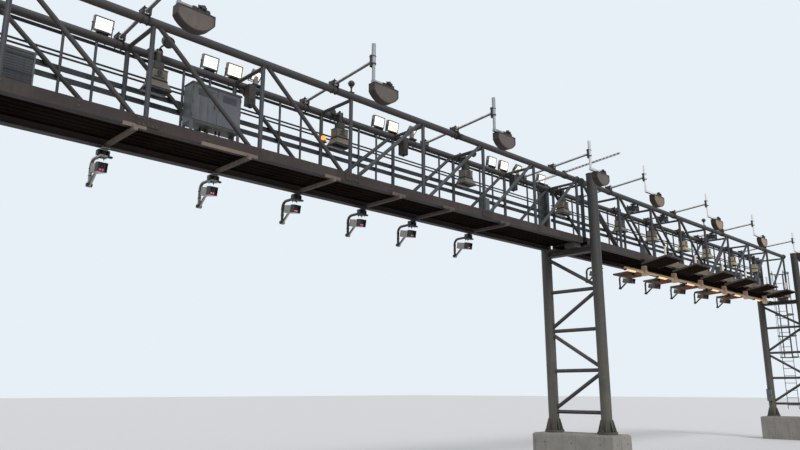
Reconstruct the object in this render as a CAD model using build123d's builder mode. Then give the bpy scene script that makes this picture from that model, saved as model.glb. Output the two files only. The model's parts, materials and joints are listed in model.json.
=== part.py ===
import math
import os
from build123d import *

os.makedirs("parts", exist_ok=True)

# An electronic toll gantry over two carriageways: three braced towers carry two box trusses
# end to end. X runs along the gantry, -Y is the side that meets the traffic, Z is up and 0 is the
# ground at the middle of the central tower.

# Bays and spans
bay = 2000
bays = 8
end_gap = 100
truss_width = 920
chord_z = 7500
back_drop = 80
chord_radius = 70
web_radius = 38
post_radius = 22
strut_radius = 34
diagonal_top = 50
diagonal_foot = 150
post_places = (1000, 1500)
seat = 0.3

# Deck
deck_top = 5925
fascia_depth = 180
fascia_flange = 80
fascia_wall = 9
back_beam_depth = 275
joist_depth = 100
joist_width = 60
plate_thickness = 32
rib_depth = 24
rib_width = 50
rib_pitch = 150
ribs = 5

# Towers, which stand a little towards the traffic from the middle of the trusses
tower_y = -80
column_radius = 136.5
column_spacing = 1530
column_top = 7610
cap_thickness = 20
cap_overhang = 8
pedestal_height = 900
pedestal_length = 900
pedestal_width = 2300
pedestal_chamfer = 40
base_plate = 500
base_plate_thickness = 34
grout = 26
gusset_height = 290
gusset_reach = 96
gusset_thickness = 18
gussets = 8
anchor_radius = 18
anchor_height = 45
anchor_inset = 45
brace_radius = 48
brace_first = 520
brace_step = 1040
brace_levels = 4
brace_offset = 75
beam_width = 220
beam_depth = 150
flange_thickness = 20
bearing_width = 300

# Pipes, rails and trays on the back face
conduit_radii = (28, 17, 17)
tray_height = 75
tray_depth = 50
tray_drop = (670, 835)
conduit_drop = (90, 415, 485)

# Antenna arms and antennas
arm_radius = 30
arm_rise = 8
arm_reach = 1060
arm_overhang = 90
mast_radius = 30
mast_above = 330
mast_below = 370
sleeve_radius = 38
sleeve_below = 70
clamp_width = 130
clamp_wall = 16
mast_plate_width = 86
arm_places = (-15850, -12250, -8530, -5090, -1270, 1600, 5700, 9600, 13850)
antenna_width = 590
antenna_height = 315
antenna_side = 150
antenna_thickness = 140
antenna_shifts = (180, 250, 250, 330, 460, 620, 650, 700, 700)
hanger_height = 60
hanger_end = 10

# Floodlights
flood_width = 310
flood_height = 240
flood_small = 200
flood_depth = 70
flood_stem = 70
flood_lift = 60
flood_small_lift = 160
flood_small_sink = 50
flood_lean = 12
flood_small_lean = 45
flood_places = (-12530, -10630, -10140, -6550, -6130, -2620, -2130, -440)
flood_small_places = (-9670, -5510, -1510)
round_places = (3380, 5330, 9200)
round_radius = 190
round_depth = 140
round_y = -240
round_drop = 75

# Detection heads and the narrow boxes under the lamps
head_width = 280
head_height = 350
head_depth = 200
head_drop = 345
head_stem = 20
head_flare = 70
head_skirt = 160
head_places = (-11670, -7790, -3890, 270, 3450, 5560, 7900, 9880, 12260, 14650)
lamp_box_places = (-9870, -5940, -1930)
lamp_box_size = 150
lamp_box_height = 400
lamp_box_drop = 20

# Cameras at the back edge of the deck
left_lanes = (-12290, -10360, -8570, -6890, -5400, -3460)
right_lanes = (2610, 4610, 6350, 8270, 10230, 12300)
camera_beam_size = 60
bracket_reach = 180
bracket_long_reach = 850
bracket_leg = 60
bracket_wall = 8
goose_radius = 28
goose_reach = 375
goose_drop = 385
goose_bend = 120
clamp_block = 120
clamp_outward = 40
clamp_plate = 12
housing_length = 300
housing_width = 140
housing_height = 135
housing_drop = 170
housing_gap = 125
housing_tilt = 11
housing_arm = 19
housing_foot = 60
visor_overhang = 55
visor_thickness = 8

# Cabinets on the deck and boxes on the back posts
cabinet_width = 930
cabinet_depth = 310
cabinet_height = 680
cabinet_legs = 400
cabinet_clearance = 20
leg_size = 40
cabinet_x = -10635
louvre_width = 620
louvre_height = 540
louvre_legs = 180
louvre_x = -13850
box_width = 240
box_depth = 150
box_height = 320
box_bracket = 160
box_z = 6250
box_bays = (-8, -2, 2, 3, 4, 5, 6, 7)

# Wing panels that stand out from both edges of the right deck
wing_places = (3760, 5800, 7890, 9900, 11950, 14000)
wing_width = 1060
wing_thickness = 24
wing_reach = 800
wing_tilt = 11
wing_drop = 145
wing_hanger = 40
wing_inset = 80
rear_wing_places = (5100, 7150, 9200, 11250, 13300)
rear_wing_tilt = -3.5
rear_wing_reach = 680
rear_wing_upstand = 80
wing_post_radius = 22
wing_post_height = 300

# Rail under the right deck
rail_size = 60
rail_y = 120
rail_drop = 170
rail_start = 3300
rail_end = 15400
hanger_first = 4560
hanger_pitch = 2090
hangers = 6
hanger_block = 130
hanger_foot = 90

# Ladder at the right tower
ladder_width = 440
ladder_gap = 380
ladder_stile = 50
ladder_wall = 12
ladder_foot = 300
ladder_rise = 1100
rung_radius = 11
rung_pitch = 300
hoop_radius = 360
hoop_wall = 8
hoop_height = 50
hoop_first = 3300
hoop_pitch = 900
hoop_bars = 5
hoop_turn = 50

# Small fittings
dome_radius = 66
dome_post_height = 190
dome_post_radius = 16
beacon_radius = 48
beacon_height = 110
beacon_z = 6790
strut_reach = 1640
perforated_size = 42
perforated_x = -690
hole_radius = 11
hole_pitch = 100
switch_width = 180
switch_height = 480
switch_depth = 160
switch_z = 1520

# Places worked out from the sizes above
span = bay * bays
tower_pitch = span + 2 * end_gap
half_width = truss_width / 2
column_front = tower_y - column_spacing / 2
column_rear = tower_y + column_spacing / 2
column_foot = pedestal_height + grout
beam_top = deck_top - back_beam_depth
beam_bottom = beam_top - beam_depth
fascia_bottom = deck_top - fascia_depth
back_y = half_width + fascia_flange
towers = {"left": -tower_pitch, "centre": 0, "right": tower_pitch}
spans = {"left": -end_gap - span, "right": end_gap}
lanes = left_lanes + right_lanes
chord_top = chord_z + chord_radius + seat
back_z = chord_z - back_drop
back_top = back_z + chord_radius + seat
chord_slope = math.atan(back_drop / truss_width)


def round_bar(start, end, radius):
    """A round bar between the centres of its two ends."""
    run = Vector(*end) - Vector(*start)
    with BuildSketch(Plane(origin=start, z_dir=run)) as end_face:
        Circle(radius)
    extrude(end_face.sketch, amount=run.length)


def block(low, high):
    """A square-edged block between its lowest and highest corners."""
    size = [b - a for a, b in zip(low, high)]
    middle = [(a + b) / 2 for a, b in zip(low, high)]
    with Locations(Vector(*middle)):
        Box(*size)


def blocks(middles, size):
    """Like blocks of one size, each around its middle."""
    with Locations(*[Vector(*middle) for middle in middles]):
        Box(*size)


def upright_bars(places, low, high, radius):
    """Upright round bars at several places between two heights."""
    with BuildSketch(Plane.XY.offset(low)) as feet:
        with Locations(*places):
            Circle(radius)
    extrude(feet.sketch, amount=high - low)


def cross_bars(places, back, front, radius):
    """Level round bars from back to front at several places along the gantry and heights."""
    with BuildSketch(Plane.XZ.offset(-back)) as ends:
        with Locations(*places):
            Circle(radius)
    extrude(ends.sketch, amount=back - front)


def post_line(start_x):
    """Places of the posts along one span, the end ones just inside its ends."""
    return [start_x + min(max(i * bay, web_radius), span - web_radius) for i in range(bays + 1)]


def arm_height(y):
    """Height of an arm's middle line, which rises to the front over both chords."""
    return chord_z + chord_radius + arm_rise + arm_radius - (y + half_width) * math.tan(chord_slope)


def save(piece, name):
    """Names a finished piece and writes it."""
    piece.part.label = name
    export_step(piece.part, f"parts/{name}.step")


# Concrete pedestals
for side, tower_x in towers.items():
    with BuildPart() as pedestal:
        with BuildSketch(Plane.XY):
            with Locations((tower_x, tower_y)):
                Rectangle(pedestal_length, pedestal_width)
        extrude(amount=pedestal_height)
        chamfer(pedestal.edges().group_by(Axis.Z)[-1], pedestal_chamfer)
    save(pedestal, f"pedestal_{side}")

# Columns, each with its grouted round base plate, gussets, anchor nuts between them and cap
for side, tower_x in towers.items():
    for face, y in (("front", column_front), ("rear", column_rear)):
        with BuildPart() as column:
            with BuildSketch(Plane.XY.offset(pedestal_height)):
                with Locations((tower_x, y)):
                    Circle(base_plate / 2)
            extrude(amount=grout + base_plate_thickness)
            round_bar((tower_x, y, column_foot), (tower_x, y, column_top - cap_thickness), column_radius)
            round_bar((tower_x, y, column_top - cap_thickness), (tower_x, y, column_top),
                      column_radius + cap_overhang)
            for i in range(gussets):
                turn = (i + 0.5) * 360 / gussets
                gusset_plane = Plane((tower_x, y, column_foot + base_plate_thickness),
                                     x_dir=(math.cos(math.radians(turn)), math.sin(math.radians(turn)), 0),
                                     z_dir=(math.sin(math.radians(turn)), -math.cos(math.radians(turn)), 0))
                with BuildSketch(gusset_plane) as gusset:
                    Polygon((column_radius - gusset_thickness, 0),
                            (column_radius + gusset_reach, 0),
                            (column_radius + gusset_thickness, gusset_height),
                            (column_radius - gusset_thickness, gusset_height), align=None)
                extrude(gusset.sketch, amount=gusset_thickness / 2, both=True)
            nut_reach = base_plate / 2 - anchor_inset
            anchor_places = []
            for i in range(gussets):
                turn = math.radians(i * 360 / gussets)
                anchor_places.append((tower_x + nut_reach * math.cos(turn), y + nut_reach * math.sin(turn)))
            upright_bars(anchor_places, column_foot,
                         column_foot + base_plate_thickness + anchor_height, anchor_radius)
        save(column, f"column_{side}_{face}")

# Zigzag bracing between the two columns of a tower, cut to the columns with a small gap
for side, tower_x in towers.items():
    with BuildPart() as bracing:
        near, far = column_front + column_radius / 2, column_rear - column_radius / 2
        levels = [pedestal_height + brace_first + i * brace_step for i in range(brace_levels)]
        for i, level in enumerate(levels):
            round_bar((tower_x, near, level), (tower_x, far, level), brace_radius)
            top = levels[i + 1] if i + 1 < brace_levels else beam_bottom + brace_offset - brace_radius
            low_y, high_y = (far, near) if i % 2 == 0 else (near, far)
            round_bar((tower_x, low_y, level + brace_offset), (tower_x, high_y, top - brace_offset),
                      brace_radius)
        for y in (column_front, column_rear):
            with BuildSketch(Plane.XY.offset(pedestal_height)) as bore:
                with Locations((tower_x, y)):
                    Circle(column_radius + seat)
            extrude(bore.sketch, amount=column_top - pedestal_height, mode=Mode.SUBTRACT)
    save(bracing, f"bracing_{side}")

# Cross-beams that carry the trusses between the columns
for side, tower_x in towers.items():
    with BuildPart() as beam:
        half = beam_width / 2
        web = flange_thickness / 2
        block((tower_x - half, column_front, beam_bottom),
              (tower_x + half, column_rear, beam_bottom + flange_thickness))
        block((tower_x - half, column_front, beam_top - flange_thickness),
              (tower_x + half, column_rear, beam_top))
        block((tower_x - web, column_front, beam_bottom), (tower_x + web, column_rear, beam_top))
        for x in (tower_x - end_gap - bearing_width / 2, tower_x + end_gap + bearing_width / 2):
            if (side, x < tower_x) not in (("left", True), ("right", False)):
                block((x - bearing_width / 2, -half_width, beam_top - flange_thickness),
                      (x + bearing_width / 2, -half_width + bearing_width, fascia_bottom - seat))
                block((x - bearing_width / 2, half_width - bearing_width, beam_top - flange_thickness),
                      (x + bearing_width / 2, half_width, beam_top - seat))
        for y in (column_front, column_rear):
            with BuildSketch(Plane.XY.offset(beam_bottom)) as bore:
                with Locations((tower_x, y)):
                    Circle(column_radius + seat)
            extrude(bore.sketch, amount=back_beam_depth + beam_depth, mode=Mode.SUBTRACT)
    save(beam, f"cross_beam_{side}")

# Truss faces: a round top chord with posts at the bays and diagonals that slope down to midspan.
# The back chord lies a little lower, with thinner posts for the trays between the main ones.
for side, start_x in spans.items():
    for face, y, top_z in (("front", -half_width, chord_z), ("back", half_width, back_z)):
        with BuildPart() as truss:
            round_bar((start_x, y, top_z), (start_x + span, y, top_z), chord_radius)
            upright_bars([(x, y) for x in post_line(start_x)], deck_top + seat, top_z, web_radius)
            if face == "back":
                thin_posts = [(start_x + i * bay + place, y) for i in range(bays) for place in post_places]
                upright_bars(thin_posts, deck_top + seat, top_z, post_radius)
            for i in range(bays):
                x = start_x + i * bay
                if i < bays / 2:
                    top_x, foot_x = x + diagonal_top, x + bay - diagonal_foot
                else:
                    top_x, foot_x = x + bay - diagonal_top, x + diagonal_foot
                round_bar((top_x, y, top_z), (foot_x, y, deck_top - web_radius), web_radius)
            with BuildSketch(Plane.XY.offset(deck_top - back_beam_depth)) as floor:
                with Locations((start_x + span / 2, y)):
                    Rectangle(span, 2 * chord_radius)
            extrude(floor.sketch, amount=back_beam_depth + seat, mode=Mode.SUBTRACT)
        save(truss, f"{face}_truss_{side}")

# Level struts across the top, from the back chord to each front post just under its chord
for side, start_x in spans.items():
    with BuildPart() as struts:
        cross_bars([(x, back_z) for x in post_line(start_x)], half_width, -half_width, strut_radius)
        with BuildSketch(Plane.YZ.offset(start_x)) as chord_bore:
            with Locations((-half_width, chord_z), (half_width, back_z)):
                Circle(chord_radius + seat)
        extrude(chord_bore.sketch, amount=span, mode=Mode.SUBTRACT)
        with BuildSketch(Plane.XY.offset(deck_top)) as post_bore:
            with Locations(*[(x, -half_width) for x in post_line(start_x)]):
                Circle(web_radius + seat)
        extrude(post_bore.sketch, amount=chord_z - deck_top, mode=Mode.SUBTRACT)
    save(struts, f"top_struts_{side}")

# Deck frame: a channel along the front, a deeper one along the back, and joists between them
for side, start_x in spans.items():
    with BuildPart() as frame:
        for y, depth, sign in ((-back_y, fascia_depth, 1), (back_y, back_beam_depth, -1)):
            with BuildSketch(Plane.YZ.offset(start_x)) as channel:
                with BuildLine():
                    inner = y + sign * fascia_wall
                    lip = y + sign * (fascia_flange + chord_radius)
                    low = deck_top - depth
                    Polyline((y, deck_top), (y, low), (lip, low), (lip, low + fascia_wall),
                             (inner, low + fascia_wall), (inner, deck_top - fascia_wall),
                             (lip, deck_top - fascia_wall), (lip, deck_top), close=True)
                make_face()
            extrude(channel.sketch, amount=span)
        joist_middle = deck_top - fascia_wall - joist_depth / 2
        places = [start_x + min(max(i * bay / 2, joist_width / 2), span - joist_width / 2)
                  for i in range(2 * bays + 1)]
        blocks([(x, 0, joist_middle) for x in places], (joist_width, 2 * back_y - fascia_wall, joist_depth))
    save(frame, f"deck_frame_{side}")

# Deck plates, a ribbed sheet on the joists and a soffit sheet below them
for side, start_x in spans.items():
    lip = half_width - chord_radius
    with BuildPart() as deck:
        block((start_x, -lip + seat, deck_top - fascia_wall + seat),
              (start_x + span, lip - seat, deck_top - fascia_wall + seat + plate_thickness))
    save(deck, f"deck_plate_{side}")
    with BuildPart() as soffit:
        soffit_top = deck_top - fascia_wall - joist_depth - seat
        block((start_x, -back_y + fascia_wall + seat, soffit_top - fascia_wall),
              (start_x + span, back_y - fascia_wall - seat, soffit_top))
        rib_z = soffit_top - fascia_wall - rib_depth / 2
        blocks([(start_x + span / 2, (i - (ribs - 1) / 2) * rib_pitch, rib_z) for i in range(ribs)],
               (span, rib_width, rib_depth))
    save(soffit, f"soffit_{side}")

# Two cable trays and three conduits along the back face, on the posts
for side, start_x in spans.items():
    with BuildPart() as trays:
        tray_y = half_width + web_radius + seat
        for drop in tray_drop:
            block((start_x, tray_y, back_z - drop - tray_height / 2),
                  (start_x + span, tray_y + tray_depth, back_z - drop + tray_height / 2))
    save(trays, f"cable_trays_{side}")
    with BuildPart() as conduits:
        for drop, radius in zip(conduit_drop, conduit_radii):
            y = half_width + web_radius + radius + seat
            round_bar((start_x, y, back_z - drop), (start_x + span, y, back_z - drop), radius)
    save(conduits, f"conduits_{side}")

# Antenna arms, pipes clamped on top of both chords and reaching out over the traffic
with BuildPart() as arms:
    arm_back, arm_end = half_width + arm_overhang, -half_width - arm_reach
    for x in arm_places:
        round_bar((x, arm_back, arm_height(arm_back)), (x, arm_end, arm_height(arm_end)), arm_radius)
    clamp_height = arm_rise + 2 * arm_radius + clamp_wall - seat
    for y, foot in ((-half_width, chord_top), (half_width, back_top)):
        blocks([(x, y, foot + clamp_height / 2) for x in arm_places],
               (clamp_width, clamp_width, clamp_height))
save(arms, "antenna_arms")

# Masts at the arm ends, with a sleeve, the plate that joins them and the hanger over each antenna
tip_z = arm_height(arm_end)
mast_y = arm_end - arm_radius * math.sin(chord_slope) - clamp_wall - sleeve_radius - seat
mast_foot = tip_z - mast_below
with BuildPart() as masts:
    upright_bars([(x, mast_y) for x in arm_places], mast_foot, tip_z + mast_above, mast_radius)
    upright_bars([(x, mast_y) for x in arm_places], tip_z - sleeve_below, tip_z + mast_above,
                 sleeve_radius)
    plate_depth = sleeve_radius + clamp_wall
    plate_height = 2 * arm_radius + 2 * clamp_wall
    blocks([(x, mast_y + plate_depth / 2, tip_z) for x in arm_places],
           (mast_plate_width, plate_depth, plate_height))
    for x, shift in zip(arm_places, antenna_shifts):
        block((x - mast_radius, mast_y - mast_radius, mast_foot - hanger_height),
              (x + shift + hanger_end, mast_y + mast_radius, mast_foot))
save(masts, "antenna_masts")

# Antennas with a flat top, upright ends and a round belly, facing the traffic
antenna_top = mast_foot - hanger_height - seat
with BuildPart() as antennas:
    with BuildSketch(Plane.XZ.offset(-mast_y - antenna_thickness / 2)) as outline:
        for x, shift in zip(arm_places, antenna_shifts):
            middle = x + shift
            with BuildLine():
                left, right = middle - antenna_width / 2, middle + antenna_width / 2
                shoulder = antenna_top - antenna_side
                sides = Polyline((left, shoulder), (left, antenna_top),
                                 (right, antenna_top), (right, shoulder))
                ThreePointArc(sides @ 1, (middle, antenna_top - antenna_height), sides @ 0)
            make_face()
    extrude(outline.sketch, amount=antenna_thickness)
save(antennas, "antennas")

# Floodlights on brackets along the top of the back chord, leaning forward over the lanes
with BuildPart() as floods:
    for group, width, height, lean, lift, sink in (
            (flood_places, flood_width, flood_height, flood_lean, flood_lift, 0),
            (flood_small_places, flood_small, flood_small, flood_small_lean, flood_small_lift,
             flood_small_sink)):
        blocks([(x, half_width, back_top + (lift + sink) / 2) for x in group],
               (flood_stem, flood_stem, lift + sink))
        turn = math.radians(lean)
        rise = height / 2 * math.cos(turn) + flood_depth / 2 * math.sin(turn)
        panel_z = back_top + lift + rise - flood_depth / 4
        panel = Plane(origin=(0, half_width, panel_z), x_dir=(1, 0, 0),
                      z_dir=(0, math.cos(turn), math.sin(turn)))
        with BuildSketch(panel.offset(-flood_depth / 2)) as lamp:
            with Locations(*[(x, 0) for x in group]):
                Rectangle(width, height)
        extrude(lamp.sketch, amount=flood_depth)
save(floods, "floodlights")

# Round lamps under brackets on the inner side of the front chord
with BuildPart() as rounds:
    lamp_top = chord_z - round_drop
    inner = -half_width + chord_radius + seat
    bracket_end = round_y + 2 * dome_post_radius
    blocks([(x, (inner + bracket_end) / 2, chord_z) for x in round_places],
           (clamp_width, bracket_end - inner, 2 * clamp_wall))
    upright_bars([(x, round_y) for x in round_places], lamp_top, chord_z, dome_post_radius)
    upright_bars([(x, round_y) for x in round_places], lamp_top - round_depth, lamp_top, round_radius)
save(rounds, "round_lamps")

# Detection heads hung from the inner side of the back chord, each with a flared skirt
head_y = half_width - web_radius - seat - head_depth / 2 - head_flare
chord_side = half_width - chord_radius - seat
with BuildPart() as heads:
    head_top = back_z - head_drop
    skirt_top = head_top - head_height + head_skirt
    blocks([(x, (head_y - head_stem + chord_side) / 2, back_z) for x in head_places],
           (clamp_width, chord_side - head_y + head_stem, 2 * clamp_wall))
    blocks([(x, head_y, (head_top + back_z) / 2) for x in head_places],
           (2 * head_stem, 2 * head_stem, head_drop))
    blocks([(x, head_y, (skirt_top + head_top) / 2) for x in head_places],
           (head_width, head_depth, head_top - skirt_top))
    with BuildSketch(Plane.XY.offset(skirt_top)) as waist:
        with Locations(*[(x, head_y) for x in head_places]):
            Rectangle(head_width, head_depth)
    extrude(waist.sketch, amount=-head_skirt, taper=-math.degrees(math.atan(head_flare / head_skirt)))
save(heads, "detection_heads")

# Narrow boxes hung from the same chord under the groups of lamps
with BuildPart() as lamp_boxes:
    top = back_z - lamp_box_drop
    box_y = chord_side - lamp_box_size / 2 - clamp_wall
    blocks([(x, (box_y + chord_side) / 2, back_z) for x in lamp_box_places],
           (lamp_box_size / 2, chord_side - box_y, 2 * clamp_wall))
    blocks([(x, box_y, (top + back_z) / 2) for x in lamp_box_places],
           (2 * head_stem, 2 * head_stem, lamp_box_drop))
    blocks([(x, box_y, top - lamp_box_height / 2) for x in lamp_box_places],
           (lamp_box_size, lamp_box_size, lamp_box_height))
save(lamp_boxes, "lamp_boxes")

# Camera beams under the left deck, each hung from an angle along the fascia's lower edge
beam_low = beam_top + fascia_wall + seat
with BuildPart() as camera_beams:
    front, rear = -back_y - bracket_leg, back_y - fascia_wall - seat
    middle = beam_low + camera_beam_size / 2
    blocks([(x, (front + rear) / 2, middle) for x in left_lanes],
           (camera_beam_size, rear - front, camera_beam_size))
    angle_top = fascia_bottom - seat
    outer = -back_y - bracket_wall - seat
    for i, x in enumerate(left_lanes):
        left = x - (bracket_long_reach if i == 1 else bracket_reach)
        right = x + bracket_reach
        block((left, outer, angle_top - bracket_wall), (right, -back_y + bracket_leg, angle_top))
        block((left, outer, angle_top - bracket_leg / 2),
              (right, -back_y - seat, angle_top + bracket_leg / 2))
    blocks([(x, -back_y, (beam_low + angle_top) / 2) for x in left_lanes],
           (camera_beam_size, bracket_leg, angle_top - beam_low))
save(camera_beams, "camera_beams")

# Goosenecks clamped to plates under the back beam, out over the far side and then down
plate_z = beam_top - seat - clamp_plate / 2
clamp_z = beam_top - seat - clamp_plate - clamp_block / 2
clamp_y = back_y + clamp_outward
pipe_y = clamp_y + clamp_block / 2 + goose_reach
with BuildPart() as goosenecks:
    blocks([(x, clamp_y - clamp_outward, plate_z) for x in lanes],
           (clamp_block, clamp_block + 2 * clamp_outward, clamp_plate))
    blocks([(x, clamp_y, clamp_z) for x in lanes], (clamp_block, clamp_block, clamp_block))
    for x in lanes:
        with BuildLine() as route:
            FilletPolyline((x, clamp_y, clamp_z), (x, pipe_y, clamp_z), (x, pipe_y, clamp_z - goose_drop),
                           radius=goose_bend)
        with BuildSketch(Plane(origin=route.line @ 0, z_dir=route.line % 0)) as bore:
            Circle(goose_radius)
        sweep(bore.sketch, path=route.line)
save(goosenecks, "camera_goosenecks")

# Camera housings carried by an arm from each pipe's foot, looking back and down at the lanes
turn = math.radians(housing_tilt)
housing_z = clamp_z - housing_drop
rear_y = pipe_y - goose_radius - housing_gap
foot_z = clamp_z - goose_drop
with BuildPart() as housings:
    tilted = Plane(origin=(0, rear_y, housing_z), x_dir=(1, 0, 0), z_dir=(0, math.cos(turn), math.sin(turn)))
    with BuildSketch(tilted) as shell:
        with Locations(*[(x, 0) for x in lanes]):
            Rectangle(housing_width, housing_height)
    extrude(shell.sketch, amount=-housing_length)
    with BuildSketch(tilted) as visor:
        with Locations(*[(x, housing_height / 2 + visor_thickness / 2) for x in lanes]):
            Rectangle(housing_width + visor_thickness, visor_thickness)
    extrude(visor.sketch, amount=-housing_length - visor_overhang)
    arm_foot = (pipe_y - goose_radius, foot_z - seat - housing_foot + housing_arm)
    arm_head = (rear_y - housing_length / 2 * math.cos(turn), housing_z - housing_length / 2 * math.sin(turn))
    for x in lanes:
        round_bar((x, *arm_foot), (x, *arm_head), housing_arm)
    blocks([(x, pipe_y, foot_z - seat - housing_foot / 2) for x in lanes],
           (2 * goose_radius, 2 * goose_radius, housing_foot))
save(housings, "camera_housings")

# Large cabinet and louvred cabinet on legs on the left deck
deck_plate_top = deck_top - fascia_wall + seat + plate_thickness
back_line = half_width - web_radius - cabinet_clearance
front = back_line - cabinet_depth
for name, x, width, height, legs in (
        ("large_cabinet", cabinet_x, cabinet_width, cabinet_height, cabinet_legs),
        ("louvred_cabinet", louvre_x, louvre_width, louvre_height, louvre_legs)):
    with BuildPart() as cabinet:
        foot = deck_plate_top + seat
        block((x - width / 2, front, foot + legs), (x + width / 2, back_line, foot + legs + height))
        leg_x = width / 2 - leg_size / 2
        blocks([(x + dx, y, foot + legs / 2) for dx in (-leg_x, leg_x)
                for y in (front + leg_size / 2, back_line - leg_size / 2)], (leg_size, leg_size, legs))
    save(cabinet, name)

# Junction boxes in front of some of the thin back posts, each on a short bracket
with BuildPart() as junctions:
    box_back = half_width - web_radius - seat
    post_face = half_width - post_radius - seat
    box_starts = [spans["left"] + span if i < 0 else spans["right"] for i in box_bays]
    places = [start_x + i * bay + post_places[0] for i, start_x in zip(box_bays, box_starts)]
    blocks([(x, box_back - box_depth / 2, box_z + box_height / 2) for x in places],
           (box_width, box_depth, box_height))
    blocks([(x, (box_back + post_face) / 2, box_z + box_bracket / 2) for x in places],
           (2 * post_radius, post_face - box_back, box_bracket))
save(junctions, "junction_boxes")

# Wing panels along the front of the right deck, hung under the fascia and rising outward
turn = math.radians(wing_tilt)
wing_z = fascia_bottom - wing_drop
with BuildPart() as wings:
    sloped = Plane(origin=(0, -back_y + wing_inset, wing_z), x_dir=(1, 0, 0),
                   z_dir=(0, math.sin(turn), math.cos(turn)))
    with BuildSketch(sloped) as sheet:
        with Locations(*[(x, -wing_reach / 2) for x in wing_places]):
            Rectangle(wing_width, wing_reach)
    extrude(sheet.sketch, amount=wing_thickness)
    hanger_x = wing_width / 2 - wing_hanger
    blocks([(x + dx, -back_y + wing_inset / 2, (wing_z + fascia_bottom - seat) / 2)
            for x in wing_places for dx in (-hanger_x, hanger_x)],
           (wing_hanger, wing_inset, fascia_bottom - seat - wing_z))
    post_y = -back_y + wing_inset - (wing_reach - 2 * wing_post_radius) * math.cos(turn)
    post_foot = wing_z + (wing_reach - 2 * wing_post_radius) * math.sin(turn)
    upright_bars([(x - hanger_x, post_y) for x in wing_places], post_foot,
                 post_foot + wing_post_height, wing_post_radius)
save(wings, "front_wing_panels")

# Wing panels along the back of the right deck, on upstands against the back beam
turn = math.radians(rear_wing_tilt)
with BuildPart() as rear_wings:
    inner = back_y + seat
    root_y = inner + wing_thickness * max(math.sin(turn), 0)
    sloped = Plane(origin=(0, root_y, beam_top + fascia_wall), x_dir=(1, 0, 0),
                   z_dir=(0, -math.sin(turn), math.cos(turn)))
    with BuildSketch(sloped) as sheet:
        with Locations(*[(x, rear_wing_reach / 2) for x in rear_wing_places]):
            Rectangle(wing_width, rear_wing_reach)
    extrude(sheet.sketch, amount=wing_thickness)
    blocks([(x, inner + wing_thickness / 2, beam_top + fascia_wall + rear_wing_upstand / 2)
            for x in rear_wing_places], (wing_width, wing_thickness, rear_wing_upstand))
save(rear_wings, "rear_wing_panels")

# Rail slung under the ribs of the right deck
rib_bottom = deck_top - 2 * fascia_wall - joist_depth - seat - rib_depth
rail_z = rib_bottom - seat - rail_drop - rail_size / 2
with BuildPart() as rail:
    block((rail_start, rail_y - rail_size / 2, rail_z - rail_size / 2),
          (rail_end, rail_y + rail_size / 2, rail_z + rail_size / 2))
    low = rail_z - rail_size / 2 - hanger_foot
    blocks([(hanger_first + i * hanger_pitch, rail_y, (low + rib_bottom - seat) / 2) for i in range(hangers)],
           (hanger_block, hanger_block, rib_bottom - seat - low))
save(rail, "equipment_rail")

# Ladder on the outer side of the right tower, with its brackets to the bracing
ladder_x = tower_pitch + ladder_gap
ladder_top = deck_top + ladder_rise
ladder_low = pedestal_height + ladder_foot
with BuildPart() as ladder:
    half = (ladder_width - ladder_wall) / 2
    blocks([(ladder_x, y, (ladder_low + ladder_top) / 2) for y in (-half, half)],
           (ladder_stile, ladder_wall, ladder_top - ladder_low))
    rungs = int((ladder_top - ladder_low - rung_pitch / 2) / rung_pitch)
    levels = [ladder_low + (i + 0.5) * rung_pitch for i in range(rungs)]
    cross_bars([(ladder_x, z) for z in levels], half, -half, rung_radius)
    for i in range(brace_levels):
        z = pedestal_height + brace_first + i * brace_step
        for y in (-half, half):
            round_bar((tower_pitch + brace_radius + seat, y, z), (ladder_x, y, z), rung_radius)
save(ladder, "ladder")

# Safety cage round the ladder: hoops in short arcs that meet behind the upright bars they are
# bolted to, the end arcs fixed to the stiles through flat tabs
cage_x = ladder_x + math.sqrt(hoop_radius ** 2 - (ladder_width / 2) ** 2)
tab_x = ladder_x + ladder_stile / 2 + seat
hoop_end = math.sqrt(hoop_radius ** 2 - (cage_x - tab_x) ** 2)
hoops = int((ladder_top - hoop_first) / hoop_pitch) + 1
cage_top = hoop_first + (hoops - 1) * hoop_pitch + hoop_height
bar_face = math.sqrt((hoop_radius - hoop_wall) ** 2 - (hoop_height / 2) ** 2) - seat
bar_turns = [(i - (hoop_bars - 1) / 2) * hoop_turn for i in range(hoop_bars)]
with BuildPart() as cage:
    for i in range(hoops):
        low = hoop_first + i * hoop_pitch
        with BuildSketch(Plane.XY.offset(low)) as hoop:
            with Locations((cage_x, 0)):
                Circle(hoop_radius)
                Circle(hoop_radius - hoop_wall, mode=Mode.SUBTRACT)
            with Locations((tab_x - hoop_radius, 0)):
                Rectangle(2 * hoop_radius, 2 * hoop_radius + hoop_wall, mode=Mode.SUBTRACT)
            for sign in (-1, 1):
                near = ladder_width / 2 - ladder_wall
                with Locations((tab_x + hoop_wall / 2, sign * (near + hoop_end) / 2)):
                    Rectangle(hoop_wall, hoop_end - near)
            for turn in bar_turns:
                x = cage_x + hoop_radius * math.cos(math.radians(turn))
                y = hoop_radius * math.sin(math.radians(turn))
                with Locations(Location((x, y, 0), (0, 0, turn))):
                    Rectangle(4 * hoop_wall, seat, mode=Mode.SUBTRACT)
        extrude(hoop.sketch, amount=hoop_height)
    for turn in bar_turns:
        out_x, out_y = math.cos(math.radians(turn)), math.sin(math.radians(turn))
        inside = bar_face - hoop_wall / 2
        bar_plane = Plane(origin=(cage_x + inside * out_x, inside * out_y, hoop_first),
                          x_dir=(out_x, out_y, 0), z_dir=(0, 0, 1))
        with BuildSketch(bar_plane) as bar:
            Rectangle(hoop_wall, hoop_height)
        extrude(bar.sketch, amount=cage_top - hoop_first)
save(cage, "ladder_cage")

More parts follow.
